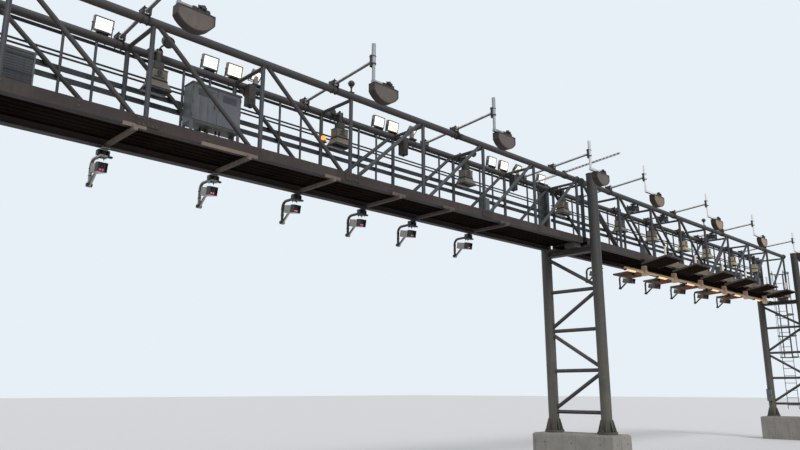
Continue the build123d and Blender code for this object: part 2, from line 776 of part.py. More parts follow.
# Ball-topped posts on the front chord at both midspans
with BuildPart() as domes:
    middles = [start_x + span / 2 for start_x in spans.values()]
    ball_z = chord_top + dome_post_height
    upright_bars([(x, -half_width) for x in middles], chord_top, ball_z, dome_post_radius)
    with Locations(*[(x, -half_width, ball_z) for x in middles]):
        Sphere(dome_radius)
save(domes, "dome_posts")

# Warning beacon on a bracket off the middle back post of the left span
with BuildPart() as beacon:
    x = spans["left"] + span / 2
    y = half_width - web_radius - seat - beacon_radius
    block((x - beacon_radius, y - beacon_radius, beacon_z - clamp_wall),
          (x + beacon_radius, y + beacon_radius, beacon_z))
    upright_bars([(x, y)], beacon_z, beacon_z + beacon_height, beacon_radius)
save(beacon, "beacon")

# Perforated strut channel that lies across both chords and reaches out past the front
with BuildPart() as perforated:
    half = perforated_size / 2
    rise, run = math.sin(chord_slope), math.cos(chord_slope)
    lift = chord_radius + seat
    underside_y, underside_z = lift * rise - half_width, chord_z + lift * run
    underside = Plane(origin=(perforated_x, underside_y, underside_z), x_dir=(0, -run, rise),
                      z_dir=(0, rise, run))
    back_length = truss_width + arm_overhang
    with BuildSketch(underside) as footprint:
        with Locations(((strut_reach - back_length) / 2, 0)):
            Rectangle(strut_reach + back_length, perforated_size)
    extrude(footprint.sketch, amount=perforated_size)
    count = int(strut_reach / hole_pitch)
    side_face = Plane(origin=(perforated_x - half, underside_y, underside_z), x_dir=(0, -run, rise),
                      z_dir=(1, 0, 0))
    with BuildSketch(side_face) as holes:
        with Locations(*[(strut_reach - (i + 0.5) * hole_pitch, -half) for i in range(count)]):
            Circle(hole_radius)
    extrude(holes.sketch, amount=perforated_size, mode=Mode.SUBTRACT)
save(perforated, "perforated_strut")

# Switch box on the rear column of the right tower
with BuildPart() as switch:
    face = tower_pitch - column_radius - seat
    block((face - switch_depth, column_rear - switch_width / 2, switch_z),
          (face, column_rear + switch_width / 2, switch_z + switch_height))
save(switch, "switch_box")
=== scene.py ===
# %% [markdown]
# # A toll gantry
# The frame of the gantry comes ready made: columns, trusses, deck and the plain bodies of the
# equipment. This lesson gives it its finishes and adds the small parts that are seen on a real one.
# First the frame is loaded.

# %% Load the frame
import json
import math

import bmesh
import bpy
from mathutils import Matrix, Vector


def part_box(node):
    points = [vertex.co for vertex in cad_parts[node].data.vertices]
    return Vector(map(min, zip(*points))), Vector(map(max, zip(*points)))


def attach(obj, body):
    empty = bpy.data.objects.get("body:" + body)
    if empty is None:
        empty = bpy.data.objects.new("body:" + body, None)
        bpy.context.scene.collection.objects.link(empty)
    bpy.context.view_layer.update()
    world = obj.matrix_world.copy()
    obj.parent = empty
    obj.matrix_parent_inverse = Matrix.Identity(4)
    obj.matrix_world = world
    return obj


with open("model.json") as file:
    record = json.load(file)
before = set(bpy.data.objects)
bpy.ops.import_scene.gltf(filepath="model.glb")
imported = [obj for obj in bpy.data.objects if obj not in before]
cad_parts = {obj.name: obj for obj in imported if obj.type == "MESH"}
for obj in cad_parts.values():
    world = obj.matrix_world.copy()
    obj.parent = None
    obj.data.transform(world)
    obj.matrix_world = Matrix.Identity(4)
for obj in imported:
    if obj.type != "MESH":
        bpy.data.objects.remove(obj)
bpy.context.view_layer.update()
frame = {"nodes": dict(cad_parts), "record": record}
nodes = frame["nodes"]

# %% [markdown]
# ## Camera, floor and light
# The camera stands at the roadside under the left end and looks up along the gantry. A lens of
# about 32 mm on a 36 mm sensor gives the steep perspective that makes the near end loom. The floor
# is pale and plain, and one broad soft sun with an even sky lights the steel from above and lets
# the pale floor fill the undersides. What the camera sees of the sky is a plain pale colour of its
# own, kept apart from the light, so that it can be near white without washing out the steel.

# %% Camera
camera_data = bpy.data.cameras.new("camera")
camera_data.lens = 31.7
camera_data.sensor_width = 36
camera_data.clip_end = 400
camera = bpy.data.objects.new("camera", camera_data)
camera.location = (-16.296, -10.198, 1.976)
look_up, look_right = 13.163, 44.336
camera.rotation_euler = (math.radians(90 + look_up), 0, math.radians(-look_right))
bpy.context.collection.objects.link(camera)
bpy.context.scene.camera = camera
print("lens:", camera_data.lens)

# %% Floor
bpy.context.scene.view_settings.view_transform = "Standard"
reach = 180
floor_mesh = bpy.data.meshes.new("floor")
floor_mesh.from_pydata([(-reach, -reach, 0), (reach, -reach, 0), (reach, reach, 0), (-reach, reach, 0)],
                       [], [(0, 1, 2, 3)])
floor = bpy.data.objects.new("floor", floor_mesh)
bpy.context.collection.objects.link(floor)
floor_paint = bpy.data.materials.new("floor_paint")
floor_paint.use_nodes = True
floor_shader = floor_paint.node_tree.nodes["Principled BSDF"]
floor_shader.inputs["Base Color"].default_value = (0.72, 0.72, 0.72, 1)
floor_shader.inputs["Roughness"].default_value = 0.9
floor.data.materials.append(floor_paint)
print("floor reach:", reach)

# %% Sky and sun
world = bpy.data.worlds.new("sky")
world.use_nodes = True
bpy.context.scene.world = world
sky_nodes, sky_links = world.node_tree.nodes, world.node_tree.links
sky_light = sky_nodes["Background"]
sky_light.inputs["Color"].default_value = (0.93, 0.95, 1.0, 1)
sky_light.inputs["Strength"].default_value = 0.6
sky_seen = sky_nodes.new("ShaderNodeBackground")
sky_seen.inputs["Color"].default_value = (0.80, 0.87, 0.93, 1)
sky_path = sky_nodes.new("ShaderNodeLightPath")
seen = sky_path.outputs["Is Camera Ray"]
for ray in ("Is Glossy Ray", "Is Transmission Ray"):
    either = sky_nodes.new("ShaderNodeMath")
    either.operation = "MAXIMUM"
    sky_links.new(seen, either.inputs[0])
    sky_links.new(sky_path.outputs[ray], either.inputs[1])
    seen = either.outputs[0]
sky_choice = sky_nodes.new("ShaderNodeMixShader")
for socket, output in zip(sky_choice.inputs, (seen, sky_light.outputs[0], sky_seen.outputs[0])):
    sky_links.new(output, socket)
sky_links.new(sky_choice.outputs[0], sky_nodes["World Output"].inputs["Surface"])

sun_data = bpy.data.lights.new("sun", "SUN")
sun_data.energy = 1.5
sun_data.angle = math.radians(20)
sun = bpy.data.objects.new("sun", sun_data)
sun.rotation_euler = (math.radians(48), 0, math.radians(-20))
bpy.context.collection.objects.link(sun)
print("sky strength:", sky_light.inputs["Strength"].default_value, "sun:", sun_data.energy)

# %% [markdown]
# ## Shared effects
# Years beside a road leave the same marks on every part: uneven fading, dark runs below ledges,
# dust on what faces up, small rust spots and a faint orange-peel texture in the paint. Each effect
# is a node group, built once and placed in every material with its own values. All of them read
# the object's own coordinates, which here are metres in the frame, so the marks have true sizes.


# %% Helpers for sockets and groups
def feed(tree, socket, value):
    """Gives a socket another node's output, a colour or a number."""
    if hasattr(value, "is_output"):
        tree.links.new(value, socket)
    elif isinstance(value, tuple):
        socket.default_value = (*value, 1)
    else:
        socket.default_value = value


def new_group(name, inputs, outputs):
    """A node group with its sockets made and its two end nodes placed."""
    group = bpy.data.node_groups.new(name, "ShaderNodeTree")
    for socket_name, value in inputs.items():
        kind = "NodeSocketColor" if isinstance(value, tuple) else "NodeSocketFloat"
        feed(group, group.interface.new_socket(socket_name, in_out="INPUT", socket_type=kind), value)
    for socket_name in outputs:
        kind = "NodeSocketColor" if socket_name == "Colour" else "NodeSocketFloat"
        group.interface.new_socket(socket_name, in_out="OUTPUT", socket_type=kind)
    print("group:", name)
    return group, group.nodes.new("NodeGroupInput"), group.nodes.new("NodeGroupOutput")


print("socket helpers ready")

# %% [markdown]
# A texture needs a place, a scale and a cut. The place is the object's own, so that marks keep
# their true size on small and large parts alike. A noise is soft by itself, and spreading it
# between two levels turns it into patches with edges.


# %% Helpers for textures and masks
def scaled_place(group, factors=(1, 1, 1)):
    """Object coordinates stretched by a factor on each axis."""
    place = group.nodes.new("ShaderNodeTexCoord")
    stretch = group.nodes.new("ShaderNodeMapping")
    stretch.inputs["Scale"].default_value = factors
    group.links.new(place.outputs["Object"], stretch.inputs["Vector"])
    return stretch.outputs["Vector"]


def noise_at(group, vector, scale, detail, rough=0.55):
    """A noise texture at a scale, which may be a number or another node's output."""
    noise = group.nodes.new("ShaderNodeTexNoise")
    for key, value in {"Detail": detail, "Roughness": rough, "Scale": scale, "Vector": vector}.items():
        feed(group, noise.inputs[key], value)
    return noise.outputs["Fac"]


def spread(group, value, low, high):
    """A value stretched so that low becomes 0 and high becomes 1, with soft ends."""
    ramp = group.nodes.new("ShaderNodeMapRange")
    ramp.interpolation_type = "SMOOTHSTEP"
    for key, given in {"From Min": low, "From Max": high, "Value": value}.items():
        feed(group, ramp.inputs[key], given)
    return ramp.outputs["Result"]


print("texture helpers ready")

# %% [markdown]
# Masks are joined by plain sums: multiplied where both have to hold, added where either will do.
# The part of the surface normal along Z tells which faces look up at the rain and the dust, and
# which look down at the traffic.


# %% Helpers for sums and colours
def sums(group, operation, first, second):
    """One sum of two values; either may be a number."""
    node = group.nodes.new("ShaderNodeMath")
    node.operation = operation
    for socket, value in zip(node.inputs, (first, second)):
        feed(group, socket, value)
    return node.outputs[0]


def product(group, first, second):
    """Two values multiplied."""
    return sums(group, "MULTIPLY", first, second)


def swing(group, value, amount):
    """A value around a half turned into a change around nothing, as large as the amount."""
    return product(group, sums(group, "SUBTRACT", value, 0.5), amount)


def mixed(group, amount, first, second):
    """Two colours mixed by an amount."""
    node = group.nodes.new("ShaderNodeMix")
    node.data_type = "RGBA"
    for index, value in ((0, amount), (6, first), (7, second)):
        feed(group, node.inputs[index], value)
    return node.outputs[2]


def normal_part(tree, axis):
    """How far the surface looks along an axis, from -1 to 1."""
    facing = tree.nodes.new("ShaderNodeNewGeometry")
    parts = tree.nodes.new("ShaderNodeSeparateXYZ")
    tree.links.new(facing.outputs["Normal"], parts.inputs[0])
    return parts.outputs[axis]


print("sum helpers ready")

# %% [markdown]
# Most marks work alike: a mask says where the mark lies, an amount says how strong it is, and a
# second colour is mixed into the first by both. One builder makes such a group, and each mark
# below only has to say how its mask is made.

# %% A builder for marks
base_grey = (0.3, 0.3, 0.3)


def mark_group(name, second, second_colour, amount, scale, mask_of):
    """A group that mixes a second colour into the first, where a mask says and by an amount."""
    inputs = {"Colour": base_grey, second: second_colour, "Amount": amount}
    if scale:
        inputs["Scale"] = scale
    group, start, end = new_group(name, inputs, ("Colour", "Mask"))
    mask = product(group, mask_of(group, start), start.outputs["Amount"])
    feed(group, end.inputs["Colour"], mixed(group, mask, start.outputs["Colour"], start.outputs[second]))
    feed(group, end.inputs["Mask"], mask)
    return group


print("mark builder ready")

# %% [markdown]
# **Faded patches.** Sun and exhaust fade paint in broad soft areas with smaller blotches inside
# them. Two sizes of noise are added, which looks less regular than either alone.


# %% Faded patches
def faded_mask(group, start):
    """Broad patches with finer blotches, seven times smaller, inside them."""
    place, scale = scaled_place(group), start.outputs["Scale"]
    broad = spread(group, noise_at(group, place, scale, 3), 0.38, 0.66)
    finer = spread(group, noise_at(group, place, product(group, scale, 7.0), 5, 0.65), 0.3, 0.75)
    return sums(group, "ADD", product(group, broad, 0.6), product(group, finer, 0.4))


fading = mark_group("faded_patches", "Faded", (0.4, 0.38, 0.35), 0.6, 1.2, faded_mask)

# %% [markdown]
# **Run-off.** Rain carries dirt down the faces in narrow dark streaks. A noise that is stretched
# along Z gives the streaks, and a broad noise breaks them up so that they start and stop.


# %% Run-off
def streak_mask(group, start):
    """Tall narrow streaks, broken by a broad noise."""
    streaks = noise_at(group, scaled_place(group, (1, 1, 0.06)), start.outputs["Scale"], 4, 0.6)
    breaks = noise_at(group, scaled_place(group), 1.7, 2)
    return product(group, spread(group, streaks, 0.48, 0.72), spread(group, breaks, 0.35, 0.65))


run_off = mark_group("run_off", "Dirt", (0.05, 0.045, 0.04), 0.5, 14.0, streak_mask)

# %% [markdown]
# **Settled dust.** Dust lies only where a face looks up, so the mask is the upward part of the
# surface normal, broken by noise where the wind has swept it.


# %% Settled dust
def dust_mask(group, _):
    """Faces that look up, less where the wind sweeps."""
    upward = spread(group, normal_part(group, "Z"), 0.25, 0.95)
    swept = spread(group, noise_at(group, scaled_place(group), 5.0, 4), 0.25, 0.7)
    return product(group, upward, swept)


settled_dust = mark_group("settled_dust", "Dust", (0.20, 0.175, 0.14), 0.5, None, dust_mask)

# %% [markdown]
# **Rust spots.** Where the coating is chipped, rust shows in small clusters. The peaks of a fine
# noise give the spots, and a broad noise decides where clusters stand.


# %% Rust spots
def rust_mask(group, start):
    """Small spots that stand in clusters."""
    place = scaled_place(group)
    spots = spread(group, noise_at(group, place, start.outputs["Scale"], 6, 0.7), 0.56, 0.7)
    clusters = spread(group, noise_at(group, place, 1.1, 3), 0.45, 0.68)
    return product(group, spots, clusters)


rust_spots = mark_group("rust_spots", "Rust", (0.19, 0.075, 0.03), 0.5, 30.0, rust_mask)

# %% [markdown]
# ** Painted shade and dirt below.** Undersides are darkened: painted shade, with some exhaust dirt
# that settles there, so each pipe is dark below. The mask is the downward part of the normal, a little
# uneven.


# %% Painted shade and dirt below
def below_mask(group, _):
    """Faces that look down, with a ragged edge."""
    downward = product(group, normal_part(group, "Z"), -1.0)
    ragged = swing(group, noise_at(group, scaled_place(group), 9.0, 4), 0.5)
    return spread(group, sums(group, "ADD", downward, ragged), -0.05, 0.6)


# The colour mixed into downward faces is painted shade, with some exhaust dirt.
shade_and_grime_below = mark_group("shade_and_grime_below", "Shade_And_Grime", (0.04, 0.03, 0.025), 0.85, None, below_mask)

# %% [markdown]
# ** Tones by place.** The columns are paler and more olive near the ground and darker towards the top,
# and the detection heads at the far end are a paler tan: their own tan with painted warm lamp light on it.
# Both are a slow change of colour along one axis, so one small builder makes a group for each axis.


# %% Tones by place
def tone_group(name, axis):
    """A group that changes slowly from one colour to another along an axis of the gantry."""
    group, start, end = new_group(
        name, {"Colour": base_grey, "Other": (0.4, 0.4, 0.4), "Low": 0.0, "High": 1.0}, ("Colour", "Mask"))
    parts = group.nodes.new("ShaderNodeSeparateXYZ")
    feed(group, parts.inputs[0], scaled_place(group))
    ramp = group.nodes.new("ShaderNodeMapRange")
    feed(group, ramp.inputs["Value"], parts.outputs[axis])
    feed(group, ramp.inputs["From Min"], start.outputs["Low"])
    feed(group, ramp.inputs["From Max"], start.outputs["High"])
    mask = ramp.outputs["Result"]
    feed(group, end.inputs["Colour"], mixed(group, mask, start.outputs["Colour"], start.outputs["Other"]))
    feed(group, end.inputs["Mask"], mask)
    return group


height_tone = tone_group("tone_by_height", "Z")
length_tone = tone_group("tone_by_length", "X")

# %% [markdown]
# **Zinc crystals.** Hot-dip galvanising leaves flat crystals of slightly different greys. The
# random colour of Voronoi cells gives each crystal its own tone and its own gloss.

# %% Zinc crystals
zinc_crystals, start, end = new_group(
    "zinc_crystals",
    {"Colour": (0.45, 0.46, 0.46), "Dull": (0.3, 0.31, 0.32), "Scale": 60.0, "Roughness": 0.45},
    ("Colour", "Roughness"))
cells = zinc_crystals.nodes.new("ShaderNodeTexVoronoi")
feed(zinc_crystals, cells.inputs["Vector"], scaled_place(zinc_crystals))
feed(zinc_crystals, cells.inputs["Scale"], start.outputs["Scale"])
cell_parts = zinc_crystals.nodes.new("ShaderNodeSeparateColor")
feed(zinc_crystals, cell_parts.inputs[0], cells.outputs["Color"])
crystal_tone = mixed(zinc_crystals, cell_parts.outputs[0], start.outputs["Colour"], start.outputs["Dull"])
crystal_gloss = sums(zinc_crystals, "ADD", start.outputs["Roughness"],
                     swing(zinc_crystals, cell_parts.outputs[1], 0.3))
feed(zinc_crystals, end.inputs["Colour"], crystal_tone)
feed(zinc_crystals, end.inputs["Roughness"], crystal_gloss)

# %% [markdown]
# **Fine texture.** Brushed and sprayed coatings are never quite flat. This group puts out a height
# for a Bump node and a roughness that wavers around the one it is given.

# %% Fine texture
fine_texture, start, end = new_group(
    "fine_texture", {"Scale": 90.0, "Roughness": 0.6, "Waver": 0.25}, ("Height", "Roughness"))
place = scaled_place(fine_texture)
feed(fine_texture, end.inputs["Height"], noise_at(fine_texture, place, start.outputs["Scale"], 5, 0.6))
wavering = swing(fine_texture, noise_at(fine_texture, place, 3.5, 4), start.outputs["Waver"])
feed(fine_texture, end.inputs["Roughness"], sums(fine_texture, "ADD", start.outputs["Roughness"], wavering))

# %% [markdown]
# ## Materials
# Each finish starts from a plain colour and passes it through the effects that fit the real
# coating. A small helper places a group and sets its values, so that every material below reads as
# a list of what happened to the surface. The shader itself stays in the material.

# %% Helpers for finishes
finishes = {}


def new_finish(name, metallic=0.0):
    """A material that is listed by its name, with its shader ready for effects."""
    finishes[name] = bpy.data.materials.new(name)
    finishes[name].use_nodes = True
    tree = finishes[name].node_tree
    shader = tree.nodes["Principled BSDF"]
    shader.inputs["Metallic"].default_value = metallic
    return tree, shader


def effect(tree, group, **values):
    """Places a group in a material with its own values."""
    placed = tree.nodes.new("ShaderNodeGroup")
    placed.node_tree = group
    for key, value in values.items():
        feed(tree, placed.inputs[key.title()], value)
    return placed


print("finish helpers ready")

# %% [markdown]
# The marks are laid over a colour in order: a tone by place first, then the painted shade and dirt
# below, run-off and rust, and dust last, because it lies on all the rest. The fine texture then gives
# a bump of a few millimetres at most.


# %% Helpers for weather, painted shade and relief
def weathered_and_shaded(tree, colour, placed=None, below=None, dirt=(0.03, 0.026, 0.022), runs=0.5, rust=0.0, dust=0.4):
    """A colour with the marks of weather and a painted shade below laid over it in their order. Below
    is the colour of the painted shade and exhaust dirt on its undersides, and placed is a tone group with its
    other colour and its range."""
    marks = []
    if placed:
        marks.append((placed[0], dict(zip(("other", "low", "high"), placed[1:]))))
    if below:
        marks.append((shade_and_grime_below, {"shade_and_grime": below}))
    if runs:
        marks.append((run_off, {"dirt": dirt, "amount": runs}))
    if rust:
        marks.append((rust_spots, {"amount": rust}))
    if dust:
        marks.append((settled_dust, {"amount": dust}))
    for group, values in marks:
        colour = effect(tree, group, colour=colour, **values).outputs["Colour"]
    return colour


def add_relief(tree, shader, strength, height, **texture_values):
    """Bump detail of a height in metres, and a wavering roughness, from the fine texture."""
    texture = effect(tree, fine_texture, **texture_values)
    relief = tree.nodes.new("ShaderNodeBump")
    feed(tree, relief.inputs["Strength"], strength)
    feed(tree, relief.inputs["Distance"], height)
    feed(tree, relief.inputs["Height"], texture.outputs["Height"])
    feed(tree, shader.inputs["Normal"], relief.outputs["Normal"])
    feed(tree, shader.inputs["Roughness"], texture.outputs["Roughness"])


print("weather helpers ready")

# %% [markdown]
# Paint, plastic, rubber, dark glass and concrete are all one colour that has faded, so one function
# makes them and only its values differ.


# %% A helper for coated surfaces
def worn_finish(name, colour, faded, rough=0.6, fade=0.6, fade_scale=1.2, peel=90.0, bump=0.12, gloss=0.5,
                **marks):
    """A coated surface: fading, then the marks of weather and any painted shade below, and a fine texture."""
    tree, shader = new_finish(name)
    feed(tree, shader.inputs["Specular IOR Level"], gloss)
    tone = effect(tree, fading, colour=colour, faded=faded, amount=fade, scale=fade_scale)
    feed(tree, shader.inputs["Base Color"], weathered_and_shaded(tree, tone.outputs["Colour"], **marks))
    add_relief(tree, shader, bump, 0.004, scale=peel, roughness=rough)


print("coating helper ready")

# %% [markdown]
# ** Painted steel.** The columns, the trusses and the deck edges were painted at different times
# and have aged apart: the columns a warm grey, the trusses a darker blue-grey with a brown film
# of road dirt, the deck edge a faded reddish brown. On the right span the deck edge turns pale tan,
# which is painted warm lamp light, and several of these get painted shade on their undersides.

# %% Painted steel
worn_finish("column_paint", (0.075, 0.068, 0.052), (0.125, 0.112, 0.085), fade=0.8, runs=0.75, dust=0.2,
            rust=0.5, rough=0.55, placed=(height_tone, (0.036, 0.034, 0.033), 1.5, 6.0))
worn_finish("tower_steel", (0.05, 0.043, 0.042), (0.085, 0.071, 0.062), fade=0.8, dust=0.3, rust=0.6,
            below=(0.026, 0.02, 0.018))
worn_finish("truss_paint", (0.034, 0.040, 0.050), (0.060, 0.056, 0.055), fade=0.7, runs=0.4, dust=0.15,
            rust=0.4, below=(0.050, 0.036, 0.028))
# Past x 3.2 the fascia turns pale tan, which is painted warm lamp light; its dark undersides are painted
# shade.
worn_finish("fascia_paint", (0.034, 0.025, 0.023), (0.062, 0.047, 0.040), fade=0.8, runs=0.6, dust=0.3,
            rust=0.55, below=(0.014, 0.010, 0.009), gloss=0.3,
            placed=(length_tone, (0.20, 0.155, 0.112), 3.2, 5.4))
worn_finish("deck_sheet", (0.009, 0.007, 0.006), (0.018, 0.014, 0.011), fade=0.8, runs=0.2, dust=0.5,
            rust=0.2, rough=0.9, gloss=0.0)
worn_finish("wing_sheet", (0.03, 0.022, 0.017), (0.05, 0.036, 0.027), fade=0.7, runs=0.4, rust=0.3,
            below=(0.012, 0.008, 0.006), rough=0.9, gloss=0.0)
# The rear panels' orange is painted warm lamp light over their rusty brown.
worn_finish("lamp_lit_rear_wing_sheet", (0.17, 0.07, 0.034), (0.24, 0.11, 0.056), fade=0.8, runs=0.3, dust=0.2,
            rust=0.8, rough=0.9, gloss=0.0)
# The beams' dark undersides are painted shade.
worn_finish("beam_paint", (0.18, 0.135, 0.105), (0.25, 0.185, 0.14), fade=0.8, runs=0.4, dust=0.3, rust=0.5,
            below=(0.012, 0.009, 0.008), gloss=0.3, placed=(length_tone, (0.085, 0.068, 0.056), -11.0, -5.0))
# This tan is made bright to stand in for the warm lamp light on the rail: partly its paint and partly painted
# light.
worn_finish("tan_paint", (0.80, 0.55, 0.35), (0.88, 0.65, 0.44), fade=0.8, dust=0.3, rust=0.3)
worn_finish("cabinet_paint", (0.095, 0.10, 0.112), (0.15, 0.152, 0.158), runs=0.55, dust=0.3, rough=0.45,
            rust=0.15)
worn_finish("louvre_paint", (0.07, 0.066, 0.07), (0.11, 0.104, 0.104), dust=0.3, rough=0.5, rust=0.15)
print("finishes:", sorted(finishes))

# %% [markdown]
# ** Galvanised steel.** Arms, masts, ladder, trays and conduits are zinc coated. New zinc is
# bright with clear crystals, old zinc is dull, so the same group is used with different values. The
# near white zinc of the arms is a painted highlight on their tops, and their undersides get painted shade.


# %% Galvanised steel
def zinc_finish(name, bright, dull, metallic, rough, crystals=60.0, runs=0.3, dust=0.3, **marks):
    """Galvanised steel: crystals, then the marks of weather and any painted shade below over them."""
    tree, shader = new_finish(name, metallic)
    zinc = effect(tree, zinc_crystals, colour=bright, dull=dull, scale=crystals, roughness=rough)
    marked = weathered_and_shaded(tree, zinc.outputs["Colour"], dirt=(0.05, 0.045, 0.04), runs=runs, dust=dust, **marks)
    feed(tree, shader.inputs["Base Color"], marked)
    add_relief(tree, shader, 0.1, 0.002, scale=crystals)
    feed(tree, shader.inputs["Roughness"], zinc.outputs["Roughness"])


# The dark colour of the zinc undersides is painted shade, with some exhaust dirt.
underside_shade_and_grime = (0.035, 0.03, 0.026)
# The near white of this zinc is a painted highlight on the tops of the arms.
zinc_finish("galvanised_steel", (0.92, 0.90, 0.86), (0.74, 0.72, 0.69), 0.15, 0.4, below=underside_shade_and_grime)
zinc_finish("mast_zinc", (0.36, 0.385, 0.41), (0.25, 0.265, 0.285), 0.3, 0.42, below=underside_shade_and_grime,
            placed=(length_tone, (0.90, 0.88, 0.85), -5.0, 2.0))
zinc_finish("new_zinc", (0.82, 0.81, 0.78), (0.62, 0.61, 0.59), 0.2, 0.45, below=(0.55, 0.54, 0.51))
zinc_finish("tray_steel", (0.055, 0.058, 0.066), (0.035, 0.036, 0.041), 0.4, 0.6, below=(0.03, 0.022, 0.018))
zinc_finish("conduit_steel", (0.06, 0.068, 0.085), (0.038, 0.043, 0.055), 0.4, 0.5,
            below=(0.022, 0.018, 0.018))
zinc_finish("ladder_steel", (0.17, 0.165, 0.158), (0.11, 0.106, 0.10), 0.4, 0.55, rust=0.35)
# The goosenecks are near white at the left end as a painted highlight, and turn dark towards the right and
# below as painted shade.
zinc_finish("gooseneck_steel", (0.80, 0.79, 0.76), (0.58, 0.57, 0.55), 0.25, 0.4,
            below=(0.028, 0.026, 0.024), placed=(length_tone, (0.055, 0.056, 0.056), -13.5, -8.5))
zinc_finish("bolt_steel", (0.13, 0.12, 0.108), (0.075, 0.066, 0.058), 0.6, 0.5, rust=0.6, crystals=160.0)
zinc_finish("sleeve_zinc", (0.88, 0.80, 0.70), (0.74, 0.66, 0.57), 0.1, 0.5)
print("finishes:", len(finishes))

# %% [markdown]
# **Shells, plastics and concrete.** The equipment bodies are moulded or powder coated and mostly
# matt. The pedestals are cast concrete: pale, blotched and streaked below the base plates, with a
# coarser and deeper texture than paint has.

# %% Shells
worn_finish("floodlight_shell", (0.17, 0.168, 0.165), (0.24, 0.235, 0.225), runs=0.4, rough=0.45)
# Towards the far end the heads turn a pale tan: their own tan with painted warm lamp light on it.
worn_finish("head_shell", (0.17, 0.145, 0.108), (0.23, 0.195, 0.148), rough=0.55,
            below=(0.06, 0.048, 0.036), placed=(length_tone, (0.60, 0.48, 0.29), 3.0, 8.0))
worn_finish("lamp_box_shell", (0.03, 0.025, 0.022), (0.055, 0.044, 0.037), runs=0.4, dust=0.3, rough=0.55,
            rust=0.3)
worn_finish("neck_shell", (0.03, 0.026, 0.022), (0.052, 0.045, 0.037), runs=0.4, dust=0.3, rough=0.55)
worn_finish("camera_shell", (0.34, 0.32, 0.28), (0.44, 0.41, 0.36), runs=0.4, dust=0.5, rough=0.45,
            placed=(length_tone, (0.12, 0.115, 0.092), -0.5, 2.0))
worn_finish("dome_shell", (0.012, 0.012, 0.013), (0.03, 0.03, 0.03), runs=0.1, dust=0.3, rough=0.3, bump=0.04)
worn_finish("round_lamp_shell", (0.012, 0.012, 0.013), (0.03, 0.028, 0.026), runs=0.2, rough=0.5)
worn_finish("dark_bracket", (0.014, 0.013, 0.014), (0.034, 0.029, 0.026), runs=0.2, dust=0.12, rough=0.55,
            rust=0.2)
worn_finish("seal_rubber", (0.014, 0.014, 0.014), (0.03, 0.03, 0.03), runs=0.1, rough=0.8)
worn_finish("concrete", (0.235, 0.222, 0.198), (0.32, 0.30, 0.27), rough=0.9, fade=0.9, fade_scale=2.2,
            runs=0.55, dust=0.3, peel=45.0, bump=0.5, dirt=(0.09, 0.078, 0.062))
worn_finish("antenna_edge", (0.03, 0.023, 0.019), (0.055, 0.043, 0.034), runs=0.3)
worn_finish("wing_edge", (0.06, 0.048, 0.04), (0.10, 0.078, 0.06), runs=0.4, rust=0.3)
print("finishes:", len(finishes))

# %% [markdown]
# **Antenna shells** are two-toned: the broad faces are a matt tan-grey and the narrow edge is a
# dark brown band. The face that a point lies on is read from its normal: where the normal points
# along Y it is a broad face. That keeps the ready-made body in one piece with one material.

# %% Antenna shell
tree, shader = new_finish("antenna_shell")
broad_face = spread(tree, sums(tree, "ABSOLUTE", normal_part(tree, "Y"), 0.0), 0.6, 0.8)
patches = {"amount": 0.8, "scale": 2.5}
face_tone = effect(tree, fading, colour=(0.09, 0.074, 0.062), faded=(0.13, 0.106, 0.086), **patches)
# Towards the right the broad faces turn a warm tan, which is painted light on them.
lit_face = effect(tree, length_tone, colour=face_tone.outputs["Colour"], other=(0.36, 0.245, 0.15),
                  low=-1.0, high=7.0)
edge_tone = effect(tree, fading, colour=(0.022, 0.016, 0.013), faded=(0.04, 0.03, 0.024), **patches)
both_tones = mixed(tree, broad_face, edge_tone.outputs["Colour"], lit_face.outputs["Colour"])
feed(tree, shader.inputs["Base Color"], weathered_and_shaded(tree, both_tones, dirt=(0.035, 0.028, 0.022), dust=0.5))
add_relief(tree, shader, 0.15, 0.002, scale=120.0, roughness=0.6)
print("two-toned shell ready")

# %% [markdown]
# **Lit and glassy parts.** The floodlights and the strip lamps were on when the photograph was
# taken, so their windows give light. A slight unevenness in the emission keeps them from looking
# like paper. The beacon's lens is moulded orange plastic, lit from inside, and the camera windows
# are dark glass.


# %% Lit and glassy parts
def lit_finish(name, colour, hot, strength):
    """A lit window whose colour wavers a little between two tones."""
    tree, shader = new_finish(name)
    tone = effect(tree, fading, colour=colour, faded=hot, amount=1.0, scale=9.0)
    for socket_name in ("Emission Color", "Base Color"):
        feed(tree, shader.inputs[socket_name], tone.outputs["Colour"])
    feed(tree, shader.inputs["Emission Strength"], strength)
    add_relief(tree, shader, 0.05, 0.001, scale=200.0, roughness=0.2, waver=0.1)


lit_finish("cold_light", (0.86, 0.87, 0.88), (1.0, 0.98, 0.94), 1.05)
lit_finish("warm_light", (1.0, 0.72, 0.42), (1.0, 0.88, 0.66), 1.9)
lit_finish("soft_light", (0.92, 0.84, 0.74), (1.0, 0.95, 0.88), 1.1)
lit_finish("strip_light", (0.86, 0.5, 0.26), (1.0, 0.7, 0.42), 0.95)
# This red glow is painted light of the camera lamps on the plate round them.
lit_finish("painted_red_glow", (0.09, 0.004, 0.026), (0.17, 0.012, 0.05), 0.9)
lit_finish("red_light", (0.50, 0.13, 0.18), (0.72, 0.32, 0.38), 1.05)
lit_finish("beacon_lens", (0.95, 0.30, 0.03), (1.0, 0.48, 0.10), 1.0)
worn_finish("dark_glass", (0.01, 0.012, 0.016), (0.02, 0.024, 0.03), rough=0.12, runs=0.0, dust=0.15,
            bump=0.02)
print("finishes:", len(finishes))

# %% [markdown]
# The frame's record says which slot each ready-made node has. Every node gets the finish of that
# name in its own material slots; the meshes stay as they are. A few nodes share a slot with others
# but look different on the real gantry, such as the rear panels, whose rusty brown is brightened to
# orange by painted warm lamp light. They are listed by name with a finish of their own.

